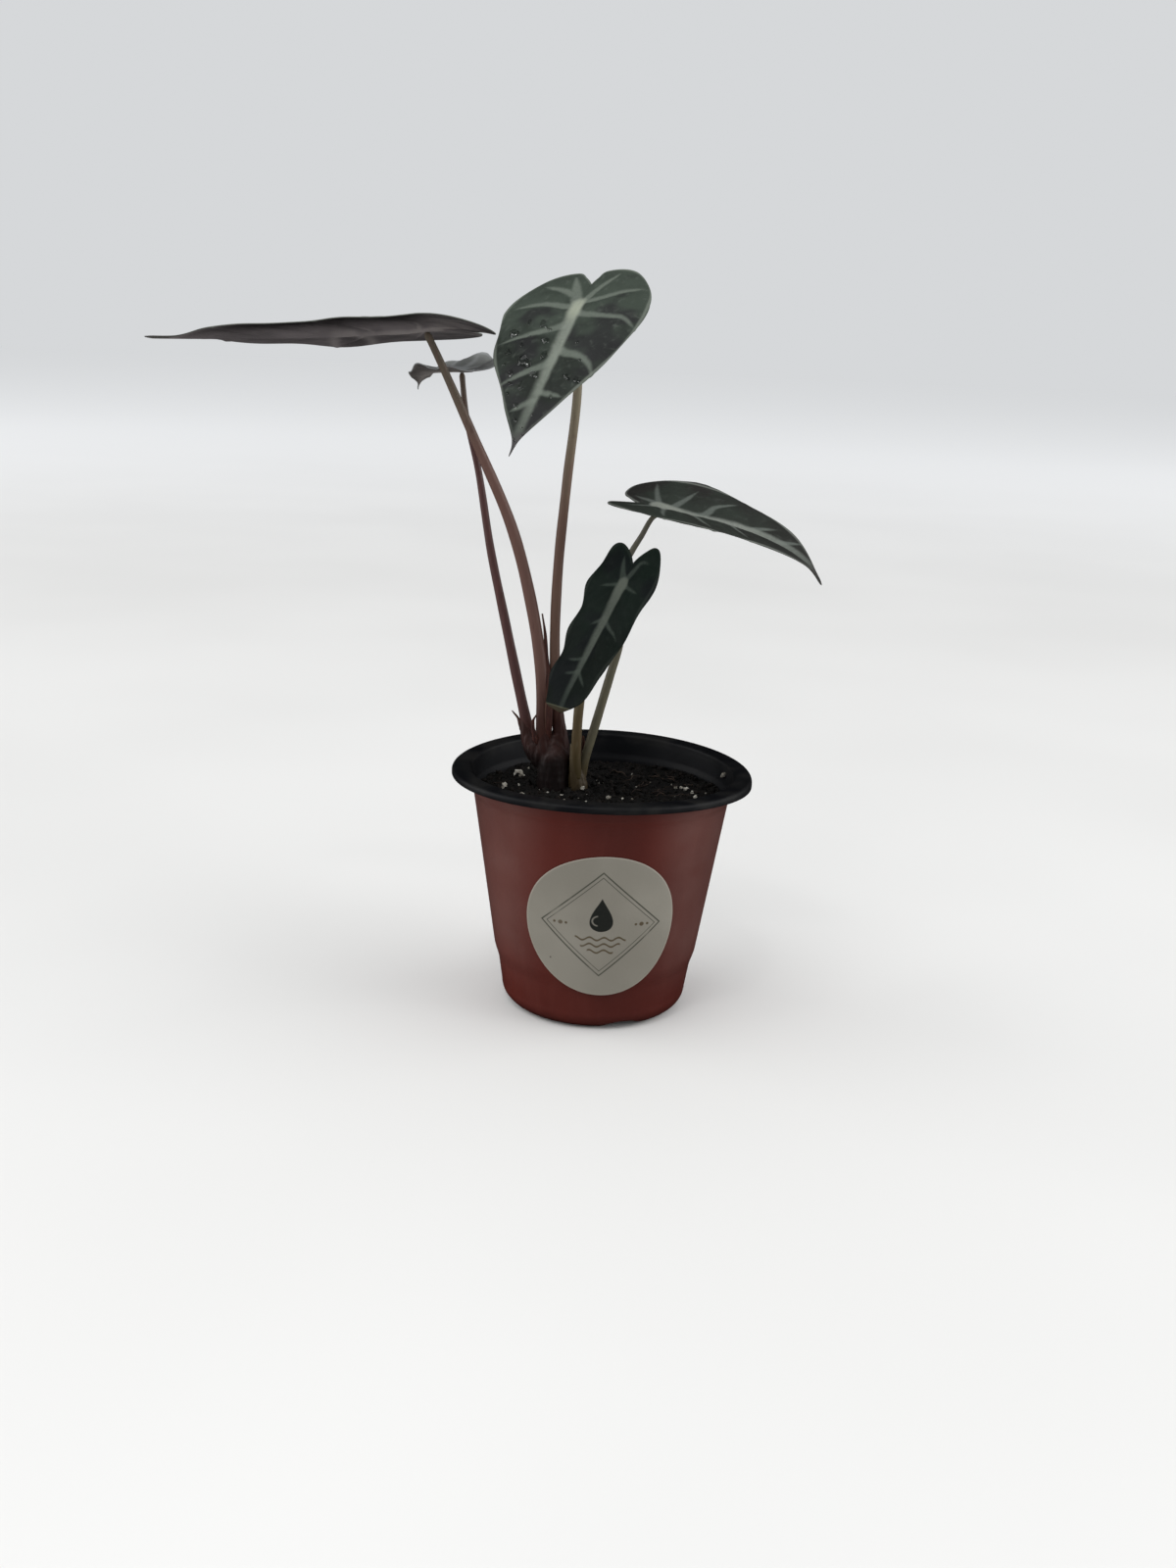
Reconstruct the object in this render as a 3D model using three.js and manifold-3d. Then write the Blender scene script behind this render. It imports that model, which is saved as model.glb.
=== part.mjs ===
// A fairy alocasia in a 10 cm nursery pot.
// Millimetres, +Z up. The pot stands on z = 0 with its axis on the z axis, and its front faces -Y.

import * as THREE from 'three';
import { mergeVertices } from 'three/addons/utils/BufferGeometryUtils.js';
import Module from 'manifold-3d';

const wasm = await Module();
wasm.setup();

const { degToRad, lerp, smoothstep } = THREE.MathUtils;

// Clearance between pieces that touch
const GAP = 0.3;

// Pot: one thin formed sheet, a tapered cup with a flat rim that turns down at its edge
const POT = {
  height: 82,
  rimRadius: 50,
  rimDrop: 2.4,
  wall: 0.8,
  mouthRadius: 43.9,
  footRadius: 31.2,
  collarHeight: 74.2,
  collarStep: 0.6,
  collarBlend: 0.4,
  plinthHeight: 17.8,
  plinthStep: 0.8,
  plinthBlend: 1,
  cornerRadius: 5.5,
  rimBend: 0.8,
  edgeRound: 0.4,
  segments: 48,
};

// Drain notches: shallow arches cut through the foot's edge
const NOTCH = { count: 4, turn: 20, rise: 2.4, width: 14, reach: 8, sides: 36 };

// Soil: its top is this far below the rim, and its lumps stand this high
const SOIL = { below: 9.2, lumps: 0.8, waist: 46, segments: 40, rings: 8 };

// Perlite granules that stand out of the soil: x, y and radius
const GRANULES = [
  [-28.7, 17.9, 1.9],
  [-32.8, 2.3, 1.2],
  [-26.2, -5.1, 1],
  [-25.4, 27.5, 0.8],
  [-5.8, -0.6, 0.9],
  [-4.2, -14.5, 1.1],
  [-12.2, -14.6, 0.9],
  [2.2, -5.5, 0.9],
  [7, -7.1, 0.9],
  [32.3, -2.2, 1],
  [32, 21, 1.1],
  [6.5, 31, 1],
];

// Round sticker on the front of the pot
const STICKER = { diameter: 50.4, thickness: 0.5, height: 38.6, turn: 2.5, rings: 4, segments: 36 };

// Corms: the short stems that the leaf stalks rise from, by axis, radius and height
const CORM = { x: -15.8, y: 6, radius: 4.7, foot: 52, scar: 84.5, top: 91 };
const OFFSET_CORM = { x: -7.4, y: 4, radius: 2.9, foot: 60, scar: 74.5, top: 78 };

// A leaf: blade sizes along and across the midrib, how it bends, and the stalk below its hub.
// azimuth 0 points along +X and 90 along +Y; dip tips the midrib down; roll lifts the left side.
const LEAVES = {
  long: {
    hub: [-61, 2, 220.9],
    azimuth: 179,
    dip: 3,
    roll: 11,
    length: 89,
    lobe: 20,
    notch: 13,
    halfWidth: 21.9,
    skew: 0.16,
    lobeSpread: 0.41,
    fullness: -0.05,
    tipWidth: 0.07,
    droop: 2,
    tipCurl: 0,
    lobeDroop: 13,
    twist: 6,
    foldLeft: 5,
    foldRight: 8,
    curl: 0.2,
    sweep: -4.9,
    ripple: 0.4,
    ripples: [4, 4],
    phases: [60, -60],
    scallop: 0.02,
    pleat: 0.4,
    stalk: [[-20.3, 5, 89], [-21.7, 4.6, 114.2], [-26.7, 4.2, 140.2], [-33, 3.5, 161.1],
      [-45.2, 2.9, 187.7], [-56, 2.3, 210.3]],
    stalkRadii: [2, 1.2],
  },
  small: {
    hub: [-50.9, 18, 208],
    azimuth: 125.5,
    dip: -2,
    roll: -5.4,
    length: 32,
    lobe: 15.2,
    notch: 7,
    halfWidth: 10.2,
    skew: 0,
    lobeSpread: 0.44,
    fullness: 0,
    tipWidth: 0.11,
    droop: 36,
    tipCurl: 10,
    lobeDroop: -6.6,
    twist: 2,
    foldLeft: 3,
    foldRight: 12.5,
    curl: -0.3,
    sweep: 2.9,
    ripple: 0.7,
    ripples: [4, 4],
    phases: [0, 120],
    scallop: 0.03,
    pleat: 0.3,
    stalk: [[-24.8, 8, 89.5], [-29.1, 9.3, 107.6], [-34.1, 11.1, 128.3], [-39.6, 13, 150.6],
      [-44.7, 15.3, 177], [-49, 16.8, 193.7]],
    stalkRadii: [1.55, 1.15],
  },
  broad: {
    hub: [-14, -5, 228.3],
    azimuth: -113,
    dip: 33.4,
    roll: 0,
    length: 61.5,
    lobe: 18.4,
    notch: 13.5,
    halfWidth: 24.8,
    skew: 0,
    lobeSpread: 0.18,
    fullness: -0.22,
    tipWidth: 0.11,
    droop: 22.7,
    tipCurl: 0,
    lobeDroop: -6,
    twist: -6,
    foldLeft: 16,
    foldRight: 3.6,
    curl: 0.35,
    sweep: 1.9,
    ripple: 0.3,
    ripples: [3.4, 3.4],
    phases: [-40, 71],
    scallop: 0.025,
    pleat: 0.6,
    stalk: [[-15, 7, 89], [-17, 5.7, 119.4], [-16.8, 4.1, 147], [-15, 2.1, 175.1],
      [-12.8, -0.6, 204.7]],
    stalkRadii: [1.7, 1.3],
  },
  arching: {
    hub: [16.3, 5, 167.6],
    azimuth: -15.8,
    dip: 8.6,
    roll: 9.6,
    length: 58,
    lobe: 15.7,
    notch: 8.8,
    halfWidth: 19.4,
    skew: -0.06,
    lobeSpread: 0.3,
    fullness: 0,
    tipWidth: 0.11,
    droop: 29.6,
    tipCurl: 0,
    lobeDroop: 7,
    twist: 3,
    foldLeft: 15.5,
    foldRight: 13.4,
    curl: 0.17,
    sweep: 4.3,
    ripple: 0.1,
    ripples: [2.4, 3.6],
    phases: [104, -172],
    scallop: 0.07,
    pleat: 0.5,
    stalk: [[-6, 5, 76.5], [-1.8, 5, 94.9], [2.4, 5, 111.8], [4.5, 5, 122], [5.2, 5, 139],
      [6.4, 5, 153.3], [9.8, 5, 159.6]],
    stalkRadii: [1.6, 0.85],
  },
  narrow: {
    hub: [4.3, -14, 145.6],
    azimuth: -138.9,
    dip: 61.5,
    roll: -1.6,
    length: 45.7,
    lobe: 13.1,
    notch: 7.3,
    halfWidth: 14.1,
    skew: 0.03,
    lobeSpread: 0.5,
    fullness: 1.3,
    tipWidth: 0.4,
    droop: -13,
    tipCurl: 20,
    lobeDroop: 0,
    twist: 9.4,
    foldLeft: 8.8,
    foldRight: 9.4,
    curl: 0.2,
    sweep: -1.1,
    ripple: 0.3,
    ripples: [2.7, 5],
    phases: [100, 180],
    scallop: 0.075,
    pleat: 0.4,
    stalk: [[-8.7, 3, 77], [-8.9, 1.1, 91], [-8.3, -1.3, 104.5], [-6.2, -4.2, 119.9],
      [0.1, -8.9, 137.1]],
    stalkRadii: [1.55, 1.2],
  },
};

// Blade: its thickness, the midrib that stands out below it where the hub is, how far its veins
// bow forward, and the mesh of each half
const BLADE = {
  thickness: 0.7,
  ribDepth: 1,
  ribPeak: 0.3,
  bow: 0.4,
  veins: 6,
  stations: 26,
  steps: [0, 0.07, 0.32, 0.6, 0.82, 1],
};

// Where the stations' roots lie: at the hub from the first share of the margin to the second one,
// then along the midrib from this share of its length on
const HUB_SHARE = [0.12, 0.4];
const HUB_REACH = 0.03;

// The mesh of a stalk, and of the sheaths and scales
const STALK_MESH = { sides: 8, steps: 24 };
const SHEATH_MESH = { sides: 10, steps: 6 };

// Sheaths: the flared foot of each stalk, as a path with its radii at both ends
const SHEATHS = [
  { path: [[-17.2, 5.6, 83], [-20, 5.1, 90], [-20.7, 4.9, 98]], radii: [4, 2.7] },
  { path: [[-18, 7.2, 84], [-23.6, 7.9, 89], [-26.4, 8.5, 95.5]], radii: [3.8, 2.3] },
  { path: [[-15, 6.6, 83], [-14.9, 7, 90], [-15.5, 6.7, 97.5]], radii: [3.9, 2.5] },
];
const OFFSET_SHEATHS = [
  { path: [[-6.8, 4.6, 72], [-5.6, 5, 78], [-4.6, 5, 82.5]], radii: [2.7, 2.2] },
  { path: [[-8, 3.6, 72], [-8.6, 3, 77.5], [-8.8, 2.3, 82.5]], radii: [2.7, 2.2] },
];

// Dry leftovers of older leaves: a tall papery point and short hooks
const SCALES = [
  { path: [[-18.6, 6.6, 92], [-19.2, 6.9, 112], [-20.6, 6.6, 130.6]], radii: [1.5, 0.2] },
  { path: [[-24.5, 8.5, 90], [-28.8, 9.2, 94], [-31, 9.6, 97.6]], radii: [1.4, 0.2] },
  { path: [[-20.4, 3.6, 88], [-22.9, 2.4, 94], [-22.9, 2.2, 98]], radii: [1.4, 0.2] },
];

const COLOURS = {
  terracotta: '#7d3f33',
  soil: '#1c1917',
  sticker: '#cfcabb',
  corm: '#4a2420',
  redStalk: '#7c5248',
  oliveStalk: '#6f6a48',
  darkBlade: '#2f4438',
  paleBlade: '#4a5a4e',
};

// Booleans and meshes

function weld(geometry) {
  const bare = geometry.clone();
  bare.deleteAttribute('normal');
  bare.deleteAttribute('uv');
  const merged = mergeVertices(bare, 1e-4);
  const corners = merged.index.array;
  const kept = [];
  for (let i = 0; i < corners.length; i += 3) {
    const [a, b, c] = corners.subarray(i, i + 3);
    if (a !== b && b !== c && c !== a) kept.push(a, b, c);
  }
  merged.setIndex(kept);
  return merged;
}

function toSolid(geometry) {
  const welded = weld(geometry);
  return new wasm.Manifold(new wasm.Mesh({
    numProp: 3,
    vertProperties: new Float32Array(welded.attributes.position.array),
    triVerts: new Uint32Array(welded.index.array),
  }));
}

function toGeometry(solid) {
  const { vertProperties, triVerts } = solid.getMesh();
  const geometry = new THREE.BufferGeometry();
  geometry.setAttribute('position', new THREE.BufferAttribute(vertProperties, 3));
  geometry.setIndex(new THREE.BufferAttribute(triVerts, 1));
  return geometry;
}

function joined(geometries) {
  return geometries.map(toSolid).reduce((whole, piece) => whole.add(piece));
}

function without(solid, geometries) {
  return geometries.map(toSolid).reduce((rest, cut) => rest.subtract(cut), solid);
}

function toMesh(name, geometry, colour, roughness) {
  const finished = weld(geometry);
  finished.computeVertexNormals();
  const material = new THREE.MeshStandardMaterial({ color: colour, roughness, metalness: 0 });
  const mesh = new THREE.Mesh(finished, material);
  mesh.name = name;
  return mesh;
}

function turned(profile, segments) {
  const points = profile.map(([radius, height]) => new THREE.Vector2(radius, height));
  return new THREE.LatheGeometry(points, segments).rotateX(Math.PI / 2);
}

// A tube whose radius runs from radii[0] to radii[1]: a cylinder bent along the path
function taperedTube(path, radii, { sides, steps }) {
  const curve = new THREE.CatmullRomCurve3(path.map((point) => new THREE.Vector3(...point)));
  const { normals, binormals } = curve.computeFrenetFrames(steps);
  const geometry = new THREE.CylinderGeometry(1, 1, steps, sides, steps);
  const { position } = geometry.attributes;
  const vertex = new THREE.Vector3();
  for (let i = 0; i < position.count; i += 1) {
    vertex.fromBufferAttribute(position, i);
    const step = Math.round(vertex.y + steps / 2);
    const radius = lerp(radii[0], radii[1], step / steps);
    const across = normals[step].clone().multiplyScalar(vertex.z * radius);
    const aside = binormals[step].clone().multiplyScalar(vertex.x * radius);
    const centre = curve.getPointAt(step / steps);
    position.setXYZ(i, ...centre.add(across).add(aside).toArray());
  }
  return geometry;
}

// Pot

function coneRadius(z) {
  return lerp(POT.footRadius, POT.mouthRadius, z / POT.height);
}

function potRadius(z) {
  const { collarHeight, collarStep, collarBlend, plinthHeight, plinthStep, plinthBlend } = POT;
  const collar = collarStep * smoothstep(z, collarHeight - collarBlend, collarHeight + collarBlend);
  const body = smoothstep(z, plinthHeight - plinthBlend, plinthHeight + plinthBlend);
  return coneRadius(z) + collar - plinthStep * (1 - body);
}

function cornerArc(radius, height, bend) {
  const steps = 3;
  return Array.from({ length: steps + 1 }, (_, i) => {
    const angle = (i / steps) * (Math.PI / 2);
    return [radius - bend + bend * Math.sin(angle), height + bend - bend * Math.cos(angle)];
  });
}

// Heights at which the wall bends: above the corner, round the plinth and round the collar
function wallLevels() {
  const { collarHeight, collarBlend, plinthHeight, plinthBlend, cornerRadius } = POT;
  const round = (height, blend) => [height - blend, height + blend];
  const steps = [...round(plinthHeight, plinthBlend), ...round(collarHeight, collarBlend)];
  return [2 * cornerRadius, ...steps];
}

function potGeometry() {
  const { height, rimRadius, rimDrop, wall, cornerRadius, rimBend, edgeRound } = POT;
  const outside = wallLevels().map((z) => [potRadius(z), z]);
  const inside = wallLevels().toReversed().map((z) => [potRadius(z) - wall, z]);
  const neck = potRadius(height);
  const rim = [
    [neck, height - wall - rimBend],
    [neck + rimBend, height - wall],
    [rimRadius - wall, height - wall],
    [rimRadius - wall, height - rimDrop],
    [rimRadius, height - rimDrop],
    [rimRadius, height - 2 * edgeRound],
    [rimRadius - edgeRound, height - edgeRound / 2],
    [rimRadius - 3 * edgeRound, height],
    [neck + edgeRound, height],
    [neck - wall, height - rimBend],
  ];
  const profile = [
    [0, 0],
    ...cornerArc(potRadius(cornerRadius), 0, cornerRadius),
    ...outside,
    ...rim,
    ...inside,
    ...cornerArc(potRadius(cornerRadius) - wall, wall, cornerRadius - wall).toReversed(),
    [0, wall],
  ];
  return turned(profile, POT.segments);
}

// Each notch is a lying round bar that dips into the foot from outside
function notchGeometries() {
  const { count, turn, rise, width, reach, sides } = NOTCH;
  const radius = (width * width / 4 + rise * rise) / (2 * rise);
  return Array.from({ length: count }, (_, i) => {
    const angle = degToRad(turn + i * 360 / count);
    const bar = new THREE.CylinderGeometry(radius, radius, 2 * reach, sides);
    bar.translate(0, -POT.footRadius, rise - radius);
    return bar.rotateZ(angle);
  });
}

function makePot() {
  const pot = without(toSolid(potGeometry()), notchGeometries());
  return toMesh('pot', toGeometry(pot), COLOURS.terracotta, 0.45);
}

// Soil

function soilHeight(x, y) {
  const broad = Math.sin(0.21 * x + 1.3) * Math.sin(0.24 * y + 0.4);
  const fine = Math.sin(0.62 * x - 0.35 * y) * Math.sin(0.41 * x + 0.7 * y + 2);
  return POT.height - SOIL.below + SOIL.lumps * (0.6 * broad + 0.5 * fine);
}

function soilGeometry() {
  const { wall, cornerRadius, height } = POT;
  const { below, waist, rings, segments } = SOIL;
  const top = height - below;
  const floor = wall + GAP;
  const radiusAt = (z) => potRadius(z) - wall - GAP;
  const levels = [...wallLevels().filter((z) => z < waist), waist, top];
  const side = levels.map((z) => [radiusAt(z), z]);
  const surface = Array.from({ length: rings }, (_, i) => [radiusAt(top) * (1 - (i + 1) / rings), top]);
  const corner = cornerArc(radiusAt(cornerRadius), floor, cornerRadius - floor);
  const geometry = turned([[0, floor], ...corner, ...side, ...surface], segments);
  const { position } = geometry.attributes;
  for (let i = 0; i < position.count; i += 1) {
    if (position.getZ(i) > top - 0.01) {
      position.setZ(i, soilHeight(position.getX(i), position.getY(i)));
    }
  }
  return geometry;
}

function granuleGeometries() {
  return GRANULES.map(([x, y, radius], i) => {
    const granule = new THREE.IcosahedronGeometry(radius, 0);
    granule.rotateX(i).rotateZ(2 * i);
    return granule.translate(x, y, soilHeight(x, y) + 0.25 * radius);
  });
}

function makeSoil() {
  const cormHoles = [CORM, OFFSET_CORM].map((corm) => cormGeometry(corm, GAP));
  const soil = without(joined([soilGeometry(), ...granuleGeometries()]), [...cormHoles, ...offsetHoles()]);
  return toMesh('soil', toGeometry(soil), COLOURS.soil, 0.95);
}

// Sticker: a disc wrapped on the cone of the pot, straight across the step of the plinth

function stickerPoint(share, around, stand) {
  const slope = Math.atan2(POT.mouthRadius - POT.footRadius, POT.height);
  const reach = share * STICKER.diameter / 2;
  const angle = around * 2 * Math.PI;
  const z = STICKER.height + reach * Math.sin(angle) * Math.cos(slope);
  const bearing = degToRad(STICKER.turn) + reach * Math.cos(angle) / coneRadius(z);
  const radius = coneRadius(z) + stand;
  return new THREE.Vector3(radius * Math.sin(bearing), -radius * Math.cos(bearing), z);
}

function makeSticker() {
  const { thickness, rings, segments } = STICKER;
  const corners = [];
  for (const [face, stand] of [[1, GAP + thickness], [-1, GAP]]) {
    for (let ring = 0; ring < rings; ring += 1) {
      for (let i = 0; i < segments; i += 1) {
        const quad = [[ring, i], [ring + 1, i], [ring + 1, i + 1], [ring, i + 1]];
        const [a, b, c, d] = quad.map(([r, s]) => stickerPoint(r / rings, s / segments, stand));
        corners.push(...(face > 0 ? [a, b, c, a, c, d] : [a, c, b, a, d, c]));
      }
    }
  }
  for (let i = 0; i < segments; i += 1) {
    const [a, b] = [i, i + 1].map((s) => stickerPoint(1, s / segments, GAP + thickness));
    const [c, d] = [i, i + 1].map((s) => stickerPoint(1, s / segments, GAP));
    corners.push(a, c, d, a, d, b);
  }
  const geometry = new THREE.BufferGeometry().setFromPoints(corners);
  return toMesh('sticker', geometry, COLOURS.sticker, 0.6);
}

// Blades

// The half outline from the notch between the lobes, round the lobe and along the margin to the tip
function bladeOutline(leaf, side) {
  const { length, notch, halfWidth, lobeSpread, fullness, tipWidth } = leaf;
  const lobe = leaf.lobe * (1 + side * leaf.skew);
  const points = [
    [-notch, 0],
    [-(notch + lobe) / 2, 0.36 * lobeSpread],
    [-lobe, lobeSpread],
    [-0.86 * lobe, 0.97 * lerp(lobeSpread, 1, 0.6)],
    [-0.35 * lobe, 0.97],
    [0.12 * length, 1],
    [0.42 * length, 0.8 + 0.14 * fullness],
    [0.7 * length, 0.44 + 0.3 * fullness],
    [0.9 * length, tipWidth + 0.25 * fullness],
    [length, 0],
  ];
  const curve = new THREE.SplineCurve(points.map(([x, y]) => new THREE.Vector2(x, y * halfWidth)));
  return curve.getSpacedPoints(BLADE.stations);
}

// The midrib's height and slope at each distance from the hub, summed in short steps
function midribArc(leaf) {
  const { length, lobe } = leaf;
  const steps = 240;
  const start = -1.3 * lobe;
  const stride = (length - start) / steps;
  const slopeAt = (x) => {
    if (x < 0) return degToRad(leaf.lobeDroop) * (-x / lobe);
    return -degToRad(leaf.droop) * (x / length) ** 1.3 - degToRad(leaf.tipCurl) * (x / length) ** 8;
  };
  const arc = [{ along: 0, up: 0, slope: slopeAt(start) }];
  for (let i = 1; i <= steps; i += 1) {
    const slope = slopeAt(start + i * stride);
    const middle = (slope + arc[i - 1].slope) / 2;
    arc.push({
      along: arc[i - 1].along + Math.cos(middle) * stride,
      up: arc[i - 1].up + Math.sin(middle) * stride,
      slope,
    });
  }
  const read = (x) => {
    const place = THREE.MathUtils.clamp((x - start) / stride, 0, steps - 1e-6);
    const [a, b] = [arc[Math.floor(place)], arc[Math.floor(place) + 1]];
    const share = place % 1;
    return {
      along: lerp(a.along, b.along, share),
      up: lerp(a.up, b.up, share),
      slope: lerp(a.slope, b.slope, share),
    };
  };
  const hub = read(0);
  return (x) => {
    const { along, up, slope } = read(x);
    return { along: along - hub.along, up: up - hub.up, slope };
  };
}

function bladeAxes(leaf) {
  const [azimuth, dip, roll] = [leaf.azimuth, leaf.dip, leaf.roll].map(degToRad);
  const heading = new THREE.Vector3(Math.cos(azimuth), Math.sin(azimuth), 0);
  const forward = heading.clone().multiplyScalar(Math.cos(dip)).setZ(-Math.sin(dip));
  const left = new THREE.Vector3(-heading.y, heading.x, 0).applyAxisAngle(forward, roll);
  return { forward, left, normal: forward.clone().cross(left) };
}

// Takes a point of the flat blade, x along the midrib and y across it, to its place in the air:
// each half is folded up and curled down, the midrib is swept and twisted, and the whole is bent
function bladeMap(leaf) {
  const arc = midribArc(leaf);
  const { forward, left, normal } = bladeAxes(leaf);
  return (x, y, side, lift) => {
    const share = THREE.MathUtils.clamp(x / leaf.length, -1, 1);
    const inward = Math.max(share, 0);
    const fold = degToRad(side > 0 ? leaf.foldLeft : leaf.foldRight);
    const rise = y * Math.sin(fold) - leaf.curl * y * y / (2 * leaf.halfWidth) + lift;
    const aside = side * y * Math.cos(fold) + leaf.sweep * 4 * inward * (1 - inward);
    const twist = degToRad(leaf.twist) * share;
    const across = aside * Math.cos(twist) - rise * Math.sin(twist);
    const proud = aside * Math.sin(twist) + rise * Math.cos(twist);
    const { along, up, slope } = arc(x);
    return new THREE.Vector3(...leaf.hub)
      .addScaledVector(forward, along - proud * Math.sin(slope))
      .addScaledVector(left, across)
      .addScaledVector(normal, up + proud * Math.cos(slope));
  };
}

// The blade's mesh runs along its veins: station 0 is the notch, the last one the tip,
// and each station crosses from its root on the midrib to its point of the margin
function bladeGeometry(leaf, extra) {
  const { thickness, ribDepth, ribPeak, bow, veins, stations, steps } = BLADE;
  const place = bladeMap(leaf);
  const outlines = { 1: bladeOutline(leaf, 1), [-1]: bladeOutline(leaf, -1) };
  const last = steps.length - 1;
  const points = [];
  const index = [];
  const numbers = new Map();

  function pointAt(face, side, station, step) {
    const share = station / stations;
    const across = steps[step];
    const margin = outlines[side][station];
    const half = side > 0 ? 0 : 1;
    const wave = Math.sin(2 * Math.PI * leaf.ripples[half] * share + degToRad(leaf.phases[half]));
    const ends = Math.sqrt(Math.sin(Math.PI * share) + 1e-9);
    const bowed = 1 + bow * smoothstep(share, ...HUB_SHARE);
    const x = lerp(rootOf(leaf, share), margin.x, across ** bowed);
    const y = margin.y * across * (1 + leaf.scallop * wave * across);
    const pleat = leaf.pleat * Math.abs(Math.sin(Math.PI * veins * share)) * 4 * across * (1 - across);
    const ripple = leaf.ripple * wave * ends * across * across;
    const rib = face < 0 && step === 0 ? ribDepth * (1 - Math.abs(share - ribPeak)) : 0;
    return place(x, y, side, ripple + pleat + face * (thickness / 2 + extra + rib));
  }

  function corner(face, side, station, step) {
    const end = station === 0 || station === stations;
    const key = [face, end || step === 0 ? 0 : side, station, end ? 0 : step].join();
    if (!numbers.has(key)) {
      numbers.set(key, points.length);
      points.push(pointAt(face, side, station, end ? 0 : step));
    }
    return numbers.get(key);
  }

  function triangle(turn, a, b, c) {
    if (a === b || b === c || c === a) return;
    index.push(...(turn > 0 ? [a, b, c] : [a, c, b]));
  }

  for (const side of [1, -1]) {
    for (let station = 0; station < stations; station += 1) {
      for (const face of [1, -1]) {
        for (let step = 0; step < last; step += 1) {
          const a = corner(face, side, station, step);
          const b = corner(face, side, station + 1, step);
          const c = corner(face, side, station + 1, step + 1);
          const d = corner(face, side, station, step + 1);
          triangle(face * side, a, b, c);
          triangle(face * side, a, c, d);
        }
      }
      const [upper, lower] = [1, -1].map((face) => corner(face, side, station, last));
      const [nextUpper, nextLower] = [1, -1].map((face) => corner(face, side, station + 1, last));
      triangle(side, upper, nextUpper, nextLower);
      triangle(side, upper, nextLower, lower);
    }
  }
  const geometry = new THREE.BufferGeometry().setFromPoints(points);
  geometry.setIndex(index);
  return geometry;
}

function rootOf(leaf, share) {
  const [first, second] = HUB_SHARE;
  const hubReach = HUB_REACH * leaf.length;
  if (share < first) return -leaf.notch * (1 - share / first);
  if (share < second) return hubReach * (share - first) / (second - first);
  return lerp(hubReach, leaf.length, (share - second) / (1 - second));
}

function makeBlade(name, leaf) {
  const colour = name === 'narrow' ? COLOURS.darkBlade : COLOURS.paleBlade;
  return toMesh(`blade_${name}`, bladeGeometry(leaf, 0), colour, 0.4);
}

// Stalks

// The stalk runs from its sheath up to the hub, just under the blade
function stalkGeometry(leaf, extra) {
  const { normal } = bladeAxes(leaf);
  const top = new THREE.Vector3(...leaf.hub).addScaledVector(normal, -1).toArray();
  const [low, next] = leaf.stalk.map((point) => new THREE.Vector3(...point));
  const foot = low.clone().add(low.clone().sub(next).setLength(Math.max(extra, 1e-6))).toArray();
  const path = [foot, ...leaf.stalk.slice(1), top];
  return taperedTube(path, leaf.stalkRadii.map((radius) => radius + extra), STALK_MESH);
}

function makeStalk(name, leaf) {
  const cut = without(toSolid(stalkGeometry(leaf, 0)), [bladeGeometry(leaf, GAP)]);
  const colour = name === 'arching' || name === 'narrow' ? COLOURS.oliveStalk : COLOURS.redStalk;
  return toMesh(`stalk_${name}`, toGeometry(cut), colour, 0.5);
}

// Crowns: a corm in the soil with the sheaths fused to it, and a socket for each stalk

function cormGeometry(corm, extra) {
  const { x, y, radius, foot, scar, top } = corm;
  const profile = [
    [0, foot - extra],
    [0.6 * radius, foot - extra],
    [radius + extra, foot + 0.5 * radius],
    [radius + extra, scar - 0.8],
    [1.08 * radius + extra, scar - 0.4],
    [1.08 * radius + extra, scar + 0.4],
    [0.96 * radius + extra, scar + 0.8],
    [0.6 * radius, top + extra],
    [0, top + extra],
  ];
  return turned(profile, 16).translate(x, y, 0);
}

function sheathGeometries(sheaths, extra) {
  return sheaths.map(({ path, radii }) => {
    return taperedTube(path, radii.map((radius) => radius + extra), SHEATH_MESH);
  });
}

function offsetHoles() {
  return sheathGeometries(OFFSET_SHEATHS, GAP);
}

function makeCrown(name, corm, parts, leaves, colour) {
  const body = joined([cormGeometry(corm, 0), ...sheathGeometries(parts, 0)]);
  const sockets = leaves.map((leaf) => stalkGeometry(leaf, GAP));
  return toMesh(name, toGeometry(without(body, sockets)), colour, 0.6);
}

// The whole plant

const group = new THREE.Group();
group.add(makePot(), makeSoil(), makeSticker());
const { long, small, broad, arching, narrow } = LEAVES;
group.add(makeCrown('crown_main', CORM, [...SHEATHS, ...SCALES], [long, small, broad], COLOURS.corm));
group.add(makeCrown('crown_offset', OFFSET_CORM, OFFSET_SHEATHS, [arching, narrow], COLOURS.oliveStalk));
for (const [name, leaf] of Object.entries(LEAVES)) {
  group.add(makeBlade(name, leaf), makeStalk(name, leaf));
}

export default group;
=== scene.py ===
"""A young fairy alocasia in its thin nursery pot: five leaves from two crowns, dark soil with
perlite, and a round label on the front. Sizes are in millimetres and become metres in the mesh,
and only the stage is given in metres."""

import math
from functools import reduce

import bmesh
import bpy
import numpy as np
from mathutils import Matrix, Vector


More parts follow.
